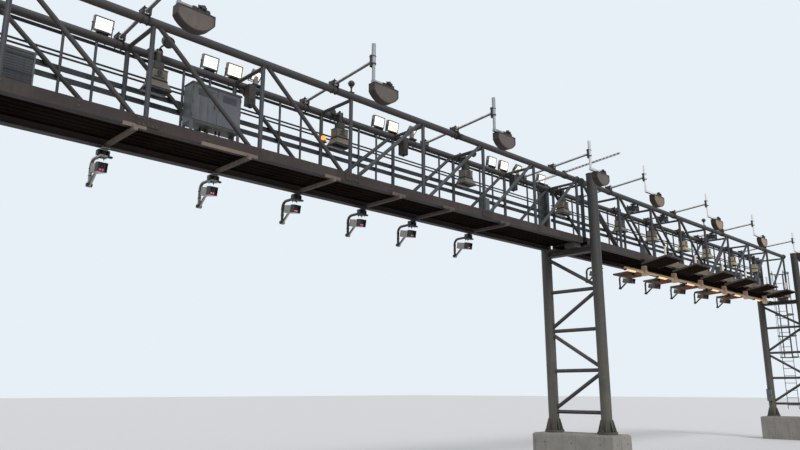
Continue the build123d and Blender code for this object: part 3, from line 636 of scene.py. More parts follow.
# %% Finishes on the ready-made nodes
own_finishes = {"rear_wing_panels": "lamp_lit_rear_wing_sheet", "camera_beams": "beam_paint",
                "antenna_masts": "mast_zinc", "perforated_strut": "new_zinc",
                "lamp_boxes": "lamp_box_shell", "louvred_cabinet": "louvre_paint"}
for subpart in frame["record"]["subparts"]:
    body = nodes[subpart["node"]]
    finish = finishes[own_finishes.get(subpart["node"], subpart["material_slot"])]
    if not body.data.materials:
        body.data.materials.append(finish)
    for index in range(len(body.data.materials)):
        body.data.materials[index] = finish

# %% [markdown]
# ## Reading places from the frame
# The small parts have to sit on the ready-made ones, so their places are read from the frame where
# it shows them, and only a few spacings, such as those of braces and hangers, are named values.
# Like pieces share a node, as solids that do not touch. Here a node's mesh is welded and walked
# from face to face, which gives each solid by itself with its box and its flat faces. A tilted
# lamp or camera then has a flat face to build on, wherever it points.

# %% One solid
x_axis, y_axis, z_axis = (1, 0, 0), (0, 1, 0), (0, 0, 1)
to_front, to_back = (0, -1, 0), (0, 1, 0)


class Solid:
    """One closed piece of a node: its triangles, its points and its box."""

    def __init__(self, faces):
        self.faces = [(face.normal.copy(), face.calc_area(), [v.co.copy() for v in face.verts])
                      for face in faces]
        self.points = [p for _, _, corners in self.faces for p in corners]
        self.low = Vector([min(p[i] for p in self.points) for i in range(3)])
        self.high = Vector([max(p[i] for p in self.points) for i in range(3)])
        self.middle = (self.low + self.high) / 2

    def face_towards(self, direction, sharp=0.8):
        """The largest flat face that looks roughly that way, as (matrix, width, height).
        In the matrix x runs along the face's level edge, y up the face and z out of it."""
        direction = Vector(direction).normalized()
        flats = {}
        for normal, area, corners in self.faces:
            if normal.dot(direction) > sharp:
                key = (*(round(c, 2) for c in normal), round(corners[0].dot(normal), 3))
                flat = flats.setdefault(key, [0.0, normal, []])
                flat[0] += area
                flat[2] += corners
        _, normal, corners = max(flats.values(), key=lambda flat: flat[0])
        level = Vector(z_axis).cross(normal)
        level = level.normalized() if level.length > 1e-4 else Vector(x_axis)
        up = normal.cross(level)
        along = [p.dot(level) for p in corners]
        rising = [p.dot(up) for p in corners]
        centre = (level * (min(along) + max(along)) / 2 + up * (min(rising) + max(rising)) / 2
                  + normal * corners[0].dot(normal))
        turned = Matrix((level, up, normal)).transposed().to_4x4()
        return Matrix.Translation(centre) @ turned, max(along) - min(along), max(rising) - min(rising)


print("solid helper ready")

# %% [markdown]
# A node's triangles are welded at their corners, and a walk over shared edges gathers the ones
# that hang together. Each group is one solid. The solids are sorted from left to right, so that
# the first lamp is always the same one.


# %% Solids of a node
def solids_of(node):
    """The separate solids of a node, from left to right."""
    mesh = bmesh.new()
    mesh.from_mesh(nodes[node].data)
    bmesh.ops.remove_doubles(mesh, verts=mesh.verts, dist=1e-5)
    mesh.normal_update()
    left = set(mesh.faces)
    found = []
    while left:
        group, front = [], [left.pop()]
        while front:
            face = front.pop()
            group.append(face)
            for neighbour in (other for edge in face.edges for other in edge.link_faces):
                if neighbour in left:
                    left.remove(neighbour)
                    front.append(neighbour)
        found.append(Solid(sorted(group, key=lambda face: face.index)))
    mesh.free()
    return sorted(found, key=lambda solid: (round(solid.middle.x, 3), solid.middle.y, solid.middle.z))


lamps = solids_of("floodlights")
antennas = solids_of("antennas")
print("floodlights:", len(lamps), "antennas:", len(antennas))

# %% [markdown]
# ## Building blocks for small parts
# Plates, bars, rods, rings and hex nuts make up nearly all small hardware. Each helper adds one of
# them to a mesh that is being built, in the space of a matrix, so the same code works on a level
# beam and on a tilted lamp. Many small parts with one finish go into one mesh, which keeps the
# scene light and easy to pick apart.

# %% Places and turns
level_space = Matrix.Identity(4)
both = (-1, 1)


def new_meshes(count):
    """Empty meshes to build in."""
    return [bmesh.new() for _ in range(count)]


def space_at(x, y, z):
    """A level space around a place."""
    return Matrix.Translation((x, y, z))


def corners_at(x, y):
    """The four places at plus and minus x and y."""
    return [(side * x, end * y) for side in both for end in both]


def turned_to(axis):
    """The turn that brings Z to an axis."""
    return Vector(z_axis).rotation_difference(Vector(axis)).to_matrix().to_4x4()


def on_circle(radius, degrees):
    """The two places of a point on a circle."""
    angle = math.radians(degrees)
    return radius * math.cos(angle), radius * math.sin(angle)


print("places ready")

# %% [markdown]
# A plate starts as a cube of one metre and is stretched, bevelled and then placed. A rod starts
# as an upright cone or cylinder and is turned to the line between its two ends.


# %% Plates and rods
def add_plate(mesh, space, centre, size, bevel=0.0):
    """A plate or block around a centre, with its edges broken by a small bevel."""
    made = bmesh.ops.create_cube(mesh, size=1.0)
    for vertex in made["verts"]:
        vertex.co = Vector([c + v * s for c, v, s in zip(centre, vertex.co, size)])
    if bevel:
        edges = {edge for vertex in made["verts"] for edge in vertex.link_edges}
        made = bmesh.ops.bevel(mesh, geom=list(edges), offset=bevel, segments=1, affect="EDGES")
    for vertex in made["verts"]:
        vertex.co = space @ vertex.co


def add_rod(mesh, space, start, end, radius, sides=10, end_radius=None):
    """A round rod, or a cone when its end has another radius. Six sides make a hex nut."""
    start, end = Vector(start), Vector(end)
    run = end - start
    made = bmesh.ops.create_cone(mesh, cap_ends=True, segments=sides, radius1=radius,
                                 radius2=radius if end_radius is None else end_radius, depth=run.length)
    placed = space @ Matrix.Translation((start + end) / 2) @ turned_to(run)
    for vertex in made["verts"]:
        vertex.co = placed @ vertex.co


print("plates and rods ready")

# %% [markdown]
# Clamps, seams and weld beads are rings, made corner by corner round an axis. A nut is three short
# rods: a round washer, a six-sided nut and the end of the stud.


# %% Rings and nuts
def add_hoop(mesh, space, centre, axis, radius, thickness, sides=20):
    """A six-sided bar bent into a ring around an axis."""
    placed = space @ Matrix.Translation(centre) @ turned_to(axis)
    rings, section = [], 6
    for i in range(sides):
        outward = Vector((*on_circle(1, 360 * i / sides), 0))
        ring = []
        for j in range(section):
            across, along = on_circle(thickness, 360 * j / section)
            ring.append(mesh.verts.new(placed @ (outward * (radius + across) + Vector((0, 0, along)))))
        rings.append(ring)
    for one, two in zip(rings, rings[1:] + rings[:1]):
        for j in range(section):
            k = (j + 1) % section
            mesh.faces.new((one[j], two[j], two[k], one[k]))


def add_nut(mesh, space, foot, axis, across, stud=0.0):
    """A hex nut on its washer, with the end of a stud standing out of it."""
    foot, axis = Vector(foot), Vector(axis).normalized()
    washer, seat, top = across * 0.12, across * 0.5, across * 0.55
    add_rod(mesh, space, foot, foot + axis * washer, across * 0.85, 12)
    add_rod(mesh, space, foot + axis * washer, foot + axis * (washer + top), across * 0.58, 6)
    if stud:
        add_rod(mesh, space, foot + axis * (washer + seat), foot + axis * (washer + seat + stud),
                across * 0.3, 8)


print("rings and nuts ready")

# %% [markdown]
# A mesh that is built becomes a piece of the gantry with one finish. It rides on the gantry's only
# body, and its finish is the same material as the frame nodes of that finish, so that a new colour reaches it
# too.


# %% Pieces
def new_piece(mesh, name, finish):
    """Turns a built mesh into a piece of the gantry with its finish, smooth where it is round."""
    bmesh.ops.recalc_face_normals(mesh, faces=mesh.faces)
    data = bpy.data.meshes.new(name)
    mesh.to_mesh(data)
    mesh.free()
    data.materials.append(finishes[finish])
    piece = bpy.data.objects.new(name, data)
    bpy.context.collection.objects.link(piece)
    data.set_sharp_from_angle(angle=math.radians(35))
    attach(piece, "root")
    print(name, "faces:", len(data.polygons))


print("pieces ready")

# %% [markdown]
# ## Floodlights
# Each floodlight is a flat aluminium housing with cooling fins behind, a raised frame in front
# and a window of small lenses. It hangs in a U-shaped yoke on a dark driver box, which is
# clamped to the chord by a U-bolt. The window is made from a dark tray and rows of lens blocks,
# because a lit lamp of this kind shows its rows of lenses and not one even sheet. The second lamp
# of a pair is the warm one, and the three small lamps give a softer light.

# %% Floodlight frames and lenses
frames, trays, yokes, u_bolts = new_meshes(4)
lens_meshes = {name: bmesh.new() for name in ("cold_light", "warm_light", "soft_light")}
rim, rim_height, lens_pitch, lens_share = 0.016, 0.012, 0.055, 0.86
small_lamp, pair_gap = 0.25, 0.6
lamp_fronts = [lamp.face_towards((0, -1, -0.3), 0.6) for lamp in lamps]
gaps = [math.inf] + [second.middle.x - first.middle.x for first, second in zip(lamps, lamps[1:])]
for (face, width, height), gap in zip(lamp_fronts, gaps):
    for side in both:
        add_plate(frames, face, (side * (width - rim) / 2, 0, rim_height / 2),
                  (rim, height, rim_height), 0.002)
        add_plate(frames, face, (0, side * (height - rim) / 2, rim_height / 2),
                  (width - 2 * rim, rim, rim_height), 0.002)
    add_plate(trays, face, (0, 0, 0.001), (width - 2 * rim, height - 2 * rim, 0.002))
    columns, rows = round(width / lens_pitch), round(height / lens_pitch)
    pitch_x, pitch_y = (width - 2.6 * rim) / columns, (height - 2.6 * rim) / rows
    light = "soft_light" if width < small_lamp else "warm_light" if gap < pair_gap else "cold_light"
    for i in range(columns):
        for j in range(rows):
            add_plate(lens_meshes[light], face,
                      ((i - (columns - 1) / 2) * pitch_x, (j - (rows - 1) / 2) * pitch_y, 0.006),
                      (pitch_x * lens_share, pitch_y * lens_share, 0.008), 0.002)
print("lamp widths:", [round(width, 2) for _, width, _ in lamp_fronts])

# %% [markdown]
# Thin fins stand on the back of the housing. The yoke is a strap on each side, held by a bolt, and
# a third strap below them. The driver box sits on the chord, and two U-bolts go round the pipe.

# %% Fins, yokes and U-bolts
fin_pitch, strap, strap_width, strap_back, yoke_drop = 0.028, 0.006, 0.034, -0.035, 0.035
driver_box, chord_radius, u_bolt, u_bolt_beside = (0.19, 0.15, 0.036), 0.07, 0.006, 0.07
chord_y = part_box("back_truss_left")[1].y - chord_radius
lamp_foot = min(lamp.low.z for lamp in lamps)
for lamp, (face, width, height) in zip(lamps, lamp_fronts):
    back, back_width, back_height = lamp.face_towards((0, 1, 0.3), 0.6)
    fins = round(back_width / fin_pitch)
    for i in range(fins):
        add_plate(frames, back, ((i - (fins - 1) / 2) * back_width / fins, 0, 0.010),
                  (0.004, back_height * 0.9, 0.020))
    yoke_y = -height / 2 - yoke_drop
    for side in both:
        x = side * (width / 2 + strap)
        add_plate(yokes, face, (x, yoke_y / 2, strap_back), (strap, -yoke_y, strap_width))
        add_rod(yokes, face, (x - side * 0.004, 0, strap_back), (x + side * 0.014, 0, strap_back), 0.013, 6)
    add_plate(yokes, face, (0, yoke_y, strap_back), (width + 3 * strap, strap, strap_width))
    add_plate(yokes, level_space, (lamp.middle.x, chord_y, lamp_foot + 0.022), driver_box, 0.004)
    for side in both:
        add_hoop(u_bolts, level_space,
                 (lamp.middle.x + side * u_bolt_beside, chord_y, lamp_foot - chord_radius),
                 x_axis, chord_radius + u_bolt, u_bolt)
new_piece(frames, "floodlight_frames", "floodlight_shell")
new_piece(trays, "floodlight_trays", "cabinet_paint")
new_piece(yokes, "floodlight_yokes", "dark_bracket")
new_piece(u_bolts, "floodlight_u_bolts", "bolt_steel")
for name, lenses in lens_meshes.items():
    new_piece(lenses, f"floodlight_lenses_{name}", name)

# %% [markdown]
# ## Antennas
# Each antenna is a shallow shell with a flat top and a round belly. A raised rim runs round its
# face where the two halves of the shell meet, and a dark bracket with a hook and a tightening
# knob holds it on its hanger. The rim follows the outline: three straight sides, and an arc whose
# radius comes from the width and depth of the belly, so it fits the ready-made shell exactly.

# %% Antenna rims
rims, screws, hooks = new_meshes(3)
rim_width, rim_raise = 0.016, 0.008


def shell_outline(width, height, side, inset, steps=22):
    """The antenna's outline around the middle of its face, moved inward by an inset."""
    belly = height - side
    radius = ((width / 2) ** 2 + belly ** 2) / (2 * belly)
    reach = width / 2 - inset
    half_arc = math.asin(min(1.0, reach / (radius - inset)))
    points = [(-reach, height / 2 - inset), (reach, height / 2 - inset)]
    for i in range(steps + 1):
        angle = half_arc - 2 * half_arc * i / steps
        points.append(((radius - inset) * math.sin(angle),
                       radius - height / 2 - (radius - inset) * math.cos(angle)))
    return points


def add_rim(mesh, space, outer, inner, raised):
    """A raised band between two outlines with the same number of points."""
    rows = [[mesh.verts.new(space @ Vector((x, y, z))) for x, y in outline]
            for outline, z in ((outer, 0.0), (outer, raised), (inner, raised), (inner, 0.0))]
    for one, two in zip(rows, rows[1:] + rows[:1]):
        for i in range(len(outer)):
            k = (i + 1) % len(outer)
            mesh.faces.new((one[i], one[k], two[k], two[i]))


for antenna in antennas:
    side = antenna.high.z - min(p.z for p in antenna.points if p.x < antenna.low.x + 0.001)
    for direction in (to_front, to_back):
        face, width, height = antenna.face_towards(direction, 0.98)
        outlines = [shell_outline(width, height, side, inset) for inset in (0, rim_width)]
        add_rim(rims, face, *outlines, rim_raise)
    face, width, height = antenna.face_towards(to_front, 0.98)
    for x, y in ((-width / 2 + 0.05, height / 2 - 0.04), (width / 2 - 0.05, height / 2 - 0.04),
                 (0, height / 2 - 0.04), (0, -height / 2 + 0.05)):
        add_rod(screws, face, (x, y, 0), (x, y, 0.006), 0.009, 6)
new_piece(rims, "antenna_rims", "antenna_edge")

# %% [markdown]
# The bracket is a foot plate with two pairs of cheeks, cross rods, a knob and a hook, and a nut
# closes it on each side.

# %% Antenna brackets
for antenna in antennas:
    top = space_at(antenna.middle.x, antenna.middle.y, antenna.high.z)
    add_plate(hooks, top, (0.12, 0, 0.008), (0.25, 0.12, 0.016), 0.002)
    for y in (-0.042, 0.042):
        add_plate(hooks, top, (0.09, y, 0.062), (0.13, 0.014, 0.10), 0.004)
        add_plate(hooks, top, (0.18, y, 0.04), (0.08, 0.012, 0.06), 0.003)
    for start, end, radius, sides in (((0.06, -0.075, 0.082), (0.06, 0.075, 0.082), 0.018, 10),
                                      ((0.13, -0.075, 0.07), (0.13, 0.075, 0.07), 0.022, 10),
                                      ((0.13, 0, 0.016), (0.13, 0, 0.12), 0.02, 10),
                                      ((0.13, 0, 0.115), (0.13, 0, 0.14), 0.036, 8)):
        add_rod(hooks, top, start, end, radius, sides)
    add_hoop(hooks, top, (0.205, 0, 0.06), y_axis, 0.036, 0.009, 14)
    add_plate(hooks, top, (-0.02, 0, 0.045), (0.07, 0.09, 0.05), 0.004)
    for y in (-0.052, 0.052):
        add_nut(screws, top, (0.10, y, 0.07), (0, y, 0), 0.03, 0.01)
new_piece(screws, "antenna_screws", "bolt_steel")
new_piece(hooks, "antenna_brackets", "dark_bracket")

# %% [markdown]
# ## Arms and masts
# A saddle clamp holds each arm where it crosses a chord: a dark top plate and cheeks around the
# pipe, and two U-bolts that pass under the chord with nuts on top.

# %% Saddle clamps on the chords
arms = solids_of("antenna_arms")
saddles, saddle_bolts = new_meshes(2)
front_box, back_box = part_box("front_truss_left"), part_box("back_truss_left")
clamp_width, clamp_height, plate, arm_gap, saddle_bolt = 0.13, 0.084, 0.007, 0.034, 0.007
chords = {"front": (front_box[0].y + chord_radius, front_box[1].z), "back": (chord_y, back_box[1].z)}


def add_saddle(mesh, bolts, x, y, top):
    """A dark clamp around an arm that lies across a chord, with two U-bolts under the chord."""
    spot = space_at(x, y, top)
    leg = chord_radius + saddle_bolt
    add_plate(mesh, spot, (0, 0, clamp_height + plate / 2), (clamp_width + 2 * plate, 2 * leg + 0.03, plate),
              0.002)
    cheek = clamp_width / 2 - arm_gap
    for side in both:
        add_plate(mesh, spot, (side * (clamp_width + plate) / 2, 0, clamp_height / 2),
                  (plate, clamp_width + 2 * plate, clamp_height))
        for end in both:
            add_plate(mesh, spot, (side * (arm_gap + cheek / 2), end * (clamp_width + plate) / 2,
                                   clamp_height / 2), (cheek, plate, clamp_height))
        u_x = side * clamp_width * 0.38
        add_hoop(bolts, spot, (u_x, 0, -chord_radius), x_axis, leg, saddle_bolt, 24)
        for across in (-leg, leg):
            add_rod(bolts, spot, (u_x, across, -chord_radius), (u_x, across, clamp_height), saddle_bolt, 8)
            add_nut(bolts, spot, (u_x, across, clamp_height + plate), z_axis, 0.022, 0.015)


for arm in arms:
    for y, top in chords.values():
        add_saddle(saddles, saddle_bolts, arm.middle.x, y, top)
print("arms:", len(arms))

# %% [markdown]
# The perforated strut lies across both chords in lower clamps of the same kind. Dark marks on its
# side, which are painted shade in the openings, draw the round holes of the ready-made body out into the
# slots of a real strut.

# %% Clamps and slots of the perforated strut
slot_shade_marks = bmesh.new()
perforated = solids_of("perforated_strut")[0]
for y, top in chords.values():
    spot = space_at(perforated.middle.x, y, top)
    add_plate(saddles, spot, (0, 0, 0.052), (0.12, 0.07, 0.008), 0.002)
    for side in both:
        add_plate(saddles, spot, (side * 0.035, 0, 0.026), (0.02, 0.07, 0.05), 0.002)
        add_hoop(saddle_bolts, spot, (side * 0.045, 0, -chord_radius), x_axis, chord_radius + u_bolt,
                 u_bolt, 24)
strut_length, strut_slope, slot_pitch, slots = 2.65, math.atan(0.08 / 0.92), 0.1, 16
strut_side = perforated.face_towards((-1, 0, 0), 0.99)[0] @ Matrix.Rotation(strut_slope, 4, "Z")
for i in range(slots):
    add_plate(slot_shade_marks, strut_side, (strut_length / 2 - (i + 0.5) * slot_pitch, -0.005, 0.0005),
              (0.055, 0.022, 0.002))
# The slot marks are painted shade in the openings.
new_piece(slot_shade_marks, "strut_slot_shade", "seal_rubber")
new_piece(saddles, "arm_saddle_clamps", "dark_bracket")
new_piece(saddle_bolts, "arm_u_bolts", "dark_bracket")

# %% [markdown]
# At its tip each arm is welded to a tall dark plate, and two bands with nuts tie the mast's sleeve
# to that plate.

# %% Plates and bands at the masts
mast_plates, mast_bands = new_meshes(2)
sleeve_radius, mast_plate_half, band = 0.038, 0.043, 0.006
for arm, mast in zip(arms, solids_of("antenna_masts")):
    spot = space_at(mast.low.x + mast_plate_half, mast.low.y + sleeve_radius, arm.high.z - 0.03)
    add_plate(mast_plates, spot, (0, sleeve_radius + 0.006, 0), (0.11, 0.010, 0.24), 0.002)
    add_plate(mast_plates, spot, (-0.05, 0.02, 0), (0.010, 0.05, 0.22), 0.002)
    for z in (-0.055, 0.085):
        add_hoop(mast_bands, spot, (0, 0, z), z_axis, sleeve_radius + 0.005, band)
        for side in both:
            add_nut(mast_bands, spot, (side * 0.045, sleeve_radius + 0.011, z), y_axis, 0.018, 0.012)
    add_hoop(mast_bands, spot, (0, 0, -0.068), z_axis, sleeve_radius, band)
new_piece(mast_plates, "mast_clamp_plates", "dark_bracket")
new_piece(mast_bands, "mast_bands", "bolt_steel")

# %% [markdown]
# ## Detection heads
# A head hangs from the back chord and looks down on a lane. Its upper box has a round window with
# a ring and a dark slot, a dark band runs round the waist where the flared skirt begins, and the
# skirt ends in a rubber lip round a dark opening.

# %% Heads
heads = solids_of("detection_heads")
head_rings, head_glass, head_bands, head_caps, head_necks = new_meshes(5)
head_depth, flare, skirt_height, lip, screw_inset = 0.2, 0.07, 0.16, 0.014, 0.018


def add_frame(mesh, space, width, depth, thick, tall, z):
    """Four bars round a rectangle, level in the given space."""
    for side in both:
        add_plate(mesh, space, (side * (width + thick) / 2, 0, z), (thick, depth + 2 * thick, tall))
        add_plate(mesh, space, (0, side * (depth + thick) / 2, z), (width, thick, tall))


for head in heads:
    face, width, height = head.face_towards(to_front, 0.99)
    spot = space_at(head.middle.x, face.translation.y + head_depth / 2, head.low.z)
    wide, deep = width + 2 * flare, head_depth + 2 * flare
    add_hoop(head_rings, face, (0, 0.035, 0.004), z_axis, 0.042, 0.009)
    add_rod(head_glass, face, (0, 0.035, 0), (0, 0.035, 0.006), 0.04, 20)
    add_plate(head_glass, face, (0, -0.035, 0.003), (width * 0.62, 0.022, 0.006))
    for x, y in corners_at(width / 2 - screw_inset, height / 2 - screw_inset):
        add_rod(head_rings, face, (x, y, 0), (x, y, 0.005), 0.007, 6)
    add_frame(head_bands, spot, width, head_depth, 0.008, 0.03, skirt_height + 0.004)
    add_frame(head_bands, spot, wide, deep, 0.006, lip, lip / 2)
    add_plate(head_glass, spot, (0, 0, 0.001), (wide - 0.03, deep - 0.03, 0.004))
print("heads:", len(heads))

# %% [markdown]
# A neck rises from the head's cap to a dark clamp on the chord, which two U-bolts hold up.

# %% Necks and clamps of the heads
near_chord = chord_y - chord_radius
for head in heads:
    face, width, height = head.face_towards(to_front, 0.99)
    head_y = face.translation.y + head_depth / 2
    cap = space_at(head.middle.x, head_y, face.translation.z + height / 2)
    add_plate(head_caps, cap, (0, 0, 0.006), (width + 0.02, 0.22, 0.012), 0.003)
    add_plate(head_necks, cap, (0, 0, 0.08), (0.18, 0.13, 0.14), 0.012)
    add_plate(head_caps, cap, (0, 0, 0.155), (0.11, 0.09, 0.02), 0.004)
    add_rod(head_caps, cap, (0.09, 0.05, 0.01), (0.09, 0.05, 0.05), 0.014, 8)
    hanger = space_at(head.middle.x, 0, head.high.z - 0.016)
    add_plate(head_caps, hanger, (0, near_chord - 0.03, 0), (0.15, 0.07, 0.07), 0.004)
    add_plate(head_necks, hanger, (0, head_y, -0.10), (0.075, 0.075, 0.16), 0.006)
    for side in both:
        add_plate(head_caps, hanger, (side * 0.075, near_chord + 0.02, 0.045), (0.075, 0.16, 0.10), 0.006)
        add_plate(head_caps, hanger, (side * 0.04, head_y, -0.08), (0.008, 0.10, 0.24), 0.002)
        bolt = Vector((side * 0.075, near_chord - 0.04, 0.095))
        add_rod(head_caps, hanger, bolt, bolt + Vector((0, 0, 0.025)), 0.022, 8)
        add_hoop(head_rings, hanger, (side * 0.055, chord_y, 0), x_axis, chord_radius + u_bolt, u_bolt, 24)
new_piece(head_rings, "head_rings", "bolt_steel")
new_piece(head_glass, "head_windows", "dark_glass")
new_piece(head_bands, "head_bands", "seal_rubber")
new_piece(head_necks, "head_necks", "neck_shell")
new_piece(head_caps, "head_caps", "dark_bracket")

# %% [markdown]
# Two of the heads on the left span carry a small round lamp above them on a bent arm, and a round
# sensor is clamped to the front chord beside one of the antenna arms.

# %% Small round lamps and sensor
small_drums, small_windows = new_meshes(2)
arm_radius, sensor_radius, sensor_beside = 0.014, 0.062, 0.10
for head, drum_radius, beside, above in ((heads[0], 0.095, 0.12, 0.14), (heads[2], 0.066, 0.22, 0.07)):
    at = Vector((head.middle.x + beside, 0.2, back_box[1].z + above))
    foot = Vector((head.middle.x, near_chord - 0.03, head.high.z))
    halfway = foot.lerp(at, 0.5)
    add_rod(small_drums, level_space, foot, halfway + Vector((0, 0, 0.03)), arm_radius, 8)
    add_rod(small_drums, level_space, halfway + Vector((0, 0, 0.02)), at, arm_radius, 8)
    facing_down = Matrix.Translation(at) @ Matrix.Rotation(math.radians(-52), 4, "X")
    add_rod(small_drums, facing_down, (0, 0, -0.06), (0, 0, 0.05), drum_radius, 24)
    add_rod(small_drums, facing_down, (0, 0, 0.05), (0, 0, 0.075), drum_radius, 24, drum_radius * 0.7)
    add_hoop(small_drums, facing_down, (0, 0, -0.06), z_axis, drum_radius - 0.004, 0.008, 24)
    add_rod(small_windows, facing_down, (0, 0, -0.066), (0, 0, -0.058), drum_radius * 0.8, 20)
front_y, front_top = chords["front"]
sensor_x = arms[3].middle.x + sensor_beside
sensor = space_at(sensor_x, front_y - chord_radius - 0.03, front_top - 0.13)
add_rod(small_drums, sensor, (0, -0.05, 0), (0, 0.03, 0), sensor_radius, 20)
add_rod(small_windows, sensor, (0, -0.055, 0), (0, -0.048, 0), 0.045, 20)
add_hoop(small_drums, level_space, (sensor_x, front_y, front_top - chord_radius), x_axis,
         chord_radius + 0.01, 0.012, 24)
new_piece(small_drums, "small_round_lamps", "round_lamp_shell")
new_piece(small_windows, "small_round_windows", "dark_glass")

# %% [markdown]
# ## Cameras
# A camera looks back along its lane from the far side of the deck. Its box has a dark window in a
# frame, with a ring round the lens and small red lamps that mark it as working. A thin dark hood
# stands out over the window and wraps the front of the box. A plate round the red lamps glows
# faintly, which is their painted glow on the face.

# %% Camera fronts and hoods
cameras = list(zip(solids_of("camera_housings"), solids_of("camera_goosenecks")))
camera_frames, camera_glass, camera_lamps, camera_painted_glow, camera_hoods, camera_pivots = new_meshes(6)
hood_reach, hood_back, sheet, bezel = 0.05, 0.08, 0.006, 0.012
hood_depth, hood_middle = hood_reach + hood_back, (hood_reach - hood_back) / 2
lens_y, lamp_x, lamp_y = 0.022, 0.021, -0.032
for housing, pipe in cameras:
    face, width, height = housing.face_towards((0, -1, -0.2), 0.95)
    for side in both:
        add_plate(camera_frames, face, (side * (width - bezel) / 2, 0, bezel / 2),
                  (bezel, height, bezel), 0.002)
        add_plate(camera_frames, face, (0, side * (height - bezel) / 2, bezel / 2),
                  (width - 2 * bezel, bezel, bezel), 0.002)
        add_rod(camera_lamps, face, (side * lamp_x, lamp_y, 0.002), (side * lamp_x, lamp_y, 0.010), 0.011, 12)
        add_plate(camera_hoods, face, (side * (width + sheet) / 2, 0.002, hood_middle),
                  (sheet, height + 0.016, hood_depth), 0.002)
    add_plate(camera_hoods, face, (0, height / 2 + 0.011, hood_middle),
              (width + 0.02, sheet, hood_depth), 0.002)
    add_plate(camera_hoods, face, (0, (height - sheet) / 2, hood_reach / 2), (width, sheet, hood_reach))
    add_plate(camera_hoods, face, (0, -(height + sheet) / 2, 0.01 - hood_back / 2),
              (width, sheet, hood_back + 0.02))
    # The glowing plate round the red lamps is painted glow of the lamps.
    add_plate(camera_painted_glow, face, (0, lamp_y, 0.003), (0.10, 0.045, 0.005), 0.002)
    add_plate(camera_glass, face, (0, 0, 0.002), (width - 2 * bezel, height - 2 * bezel, 0.004))
    add_hoop(camera_frames, face, (0, lens_y, 0.006), z_axis, 0.028, 0.005, 18)
    add_rod(camera_glass, face, (0, lens_y, 0.004), (0, lens_y, 0.010), 0.024, 16, 0.018)
    back, back_width, back_height = housing.face_towards((0, 1, 0.2), 0.95)
    add_plate(camera_frames, back, (0, 0, 0.004), (back_width + 0.006, back_height + 0.006, 0.008), 0.002)
    add_rod(camera_pivots, back, (0.03, -0.03, 0), (0.03, -0.03, 0.04), 0.012, 8)
print("cameras:", len(cameras))

# %% [markdown]
# The box turns on a pivot at the foot of its pipe. At the top the pipe is bolted through a round
# flange, and a block with a large nut clamps it to its beam. Two bands go round the pipe's foot.

# %% Camera pivots and clamps
pipe_radius, flange_ring, beam_bolt = 0.028, 0.043, 0.045
for housing, pipe in cameras:
    pipe_x, pipe_y = pipe.middle.x, pipe.high.y - pipe_radius
    foot = Vector((pipe_x, pipe_y, housing.low.z + 0.03))
    half_pivot = Vector((0.045, 0, 0))
    add_rod(camera_pivots, level_space, foot - half_pivot, foot + half_pivot, 0.034, 12)
    clamp = space_at(pipe_x, pipe.low.y + 0.14, pipe.high.z - 0.072)
    add_rod(camera_pivots, clamp, (0, 0.06, 0), (0, 0.074, 0), 0.058, 16)
    for turn in range(4):
        x, z = on_circle(flange_ring, 45 + 90 * turn)
        add_nut(camera_frames, clamp, (x, 0.074, z), y_axis, 0.016, 0.008)
    for x, y in corners_at(beam_bolt, beam_bolt):
        add_nut(camera_frames, clamp, (x, y, -0.06), (0, 0, -1), 0.018, 0.02)
    add_plate(camera_pivots, clamp, (0, -0.01, 0.012), (0.19, 0.10, 0.085), 0.006)
    add_plate(camera_pivots, clamp, (0.10, -0.03, -0.04), (0.09, 0.05, 0.03), 0.004)
    add_nut(camera_frames, clamp, (0, -0.06, 0.01), to_front, 0.044, 0.012)
    face = housing.face_towards((0, -1, -0.2), 0.95)[0]
    sleeve_end = foot.lerp(face @ Vector((0, 0, -0.15)), 0.62)
    add_rod(camera_pivots, level_space, foot + Vector((0, -0.02, -0.008)), sleeve_end, 0.025, 10)
    for z in (0.12, 0.24):
        add_hoop(camera_pivots, level_space, (pipe_x, pipe_y, pipe.low.z + z), z_axis, pipe_radius + 0.002,
                 0.006, 16)
new_piece(camera_frames, "camera_frames", "dark_bracket")
new_piece(camera_glass, "camera_windows", "dark_glass")
new_piece(camera_lamps, "camera_lamps", "red_light")
new_piece(camera_painted_glow, "camera_painted_glow", "painted_red_glow")
new_piece(camera_hoods, "camera_hoods", "dark_bracket")
new_piece(camera_pivots, "camera_pivots", "dark_bracket")

# %% [markdown]
# ## Cabinets and boxes
# The large cabinet has two doors with hinges, latches and a vent, a roof that overhangs and a
# base frame. The smaller one is faced with louvres from side to side. Doors are thin plates that
# stand a little proud of the body, because the dark line between two plates is what makes a door
# read as a door from below.

# %% Doors and louvres
cabinet_doors, cabinet_trim, cabinet_dark = new_meshes(3)
door_gap, hinge_half, vent_lines, vent_pitch, slats = 0.014, 0.03, 7, 0.018, 12


def add_door(face, x, door, height, hinge_side):
    """A door plate with three hinges, a vent and a latch with its lock."""
    add_plate(cabinet_doors, face, (x, -0.005, 0.005), (door, height - 0.05, 0.010), 0.003)
    hinge_x = x + hinge_side * (door / 2 - 0.004)
    latch_x = x - hinge_side * (door / 2 - 0.04)
    for y in (-0.36 * height, 0, 0.36 * height):
        add_rod(cabinet_trim, face, (hinge_x, y - hinge_half, 0.012), (hinge_x, y + hinge_half, 0.012),
                0.009, 8)
    # The vent's slots are dark plates: painted shade in the openings.
    for j in range(vent_lines):
        add_plate(cabinet_dark, face, (x, height * 0.36 - j * vent_pitch, 0.011), (door * 0.6, 0.007, 0.003))
    add_plate(cabinet_trim, face, (latch_x, 0, 0.014), (0.026, 0.12, 0.008), 0.002)
    add_rod(cabinet_trim, face, (latch_x, -0.02, 0.018), (latch_x, -0.02, 0.034), 0.008, 8)


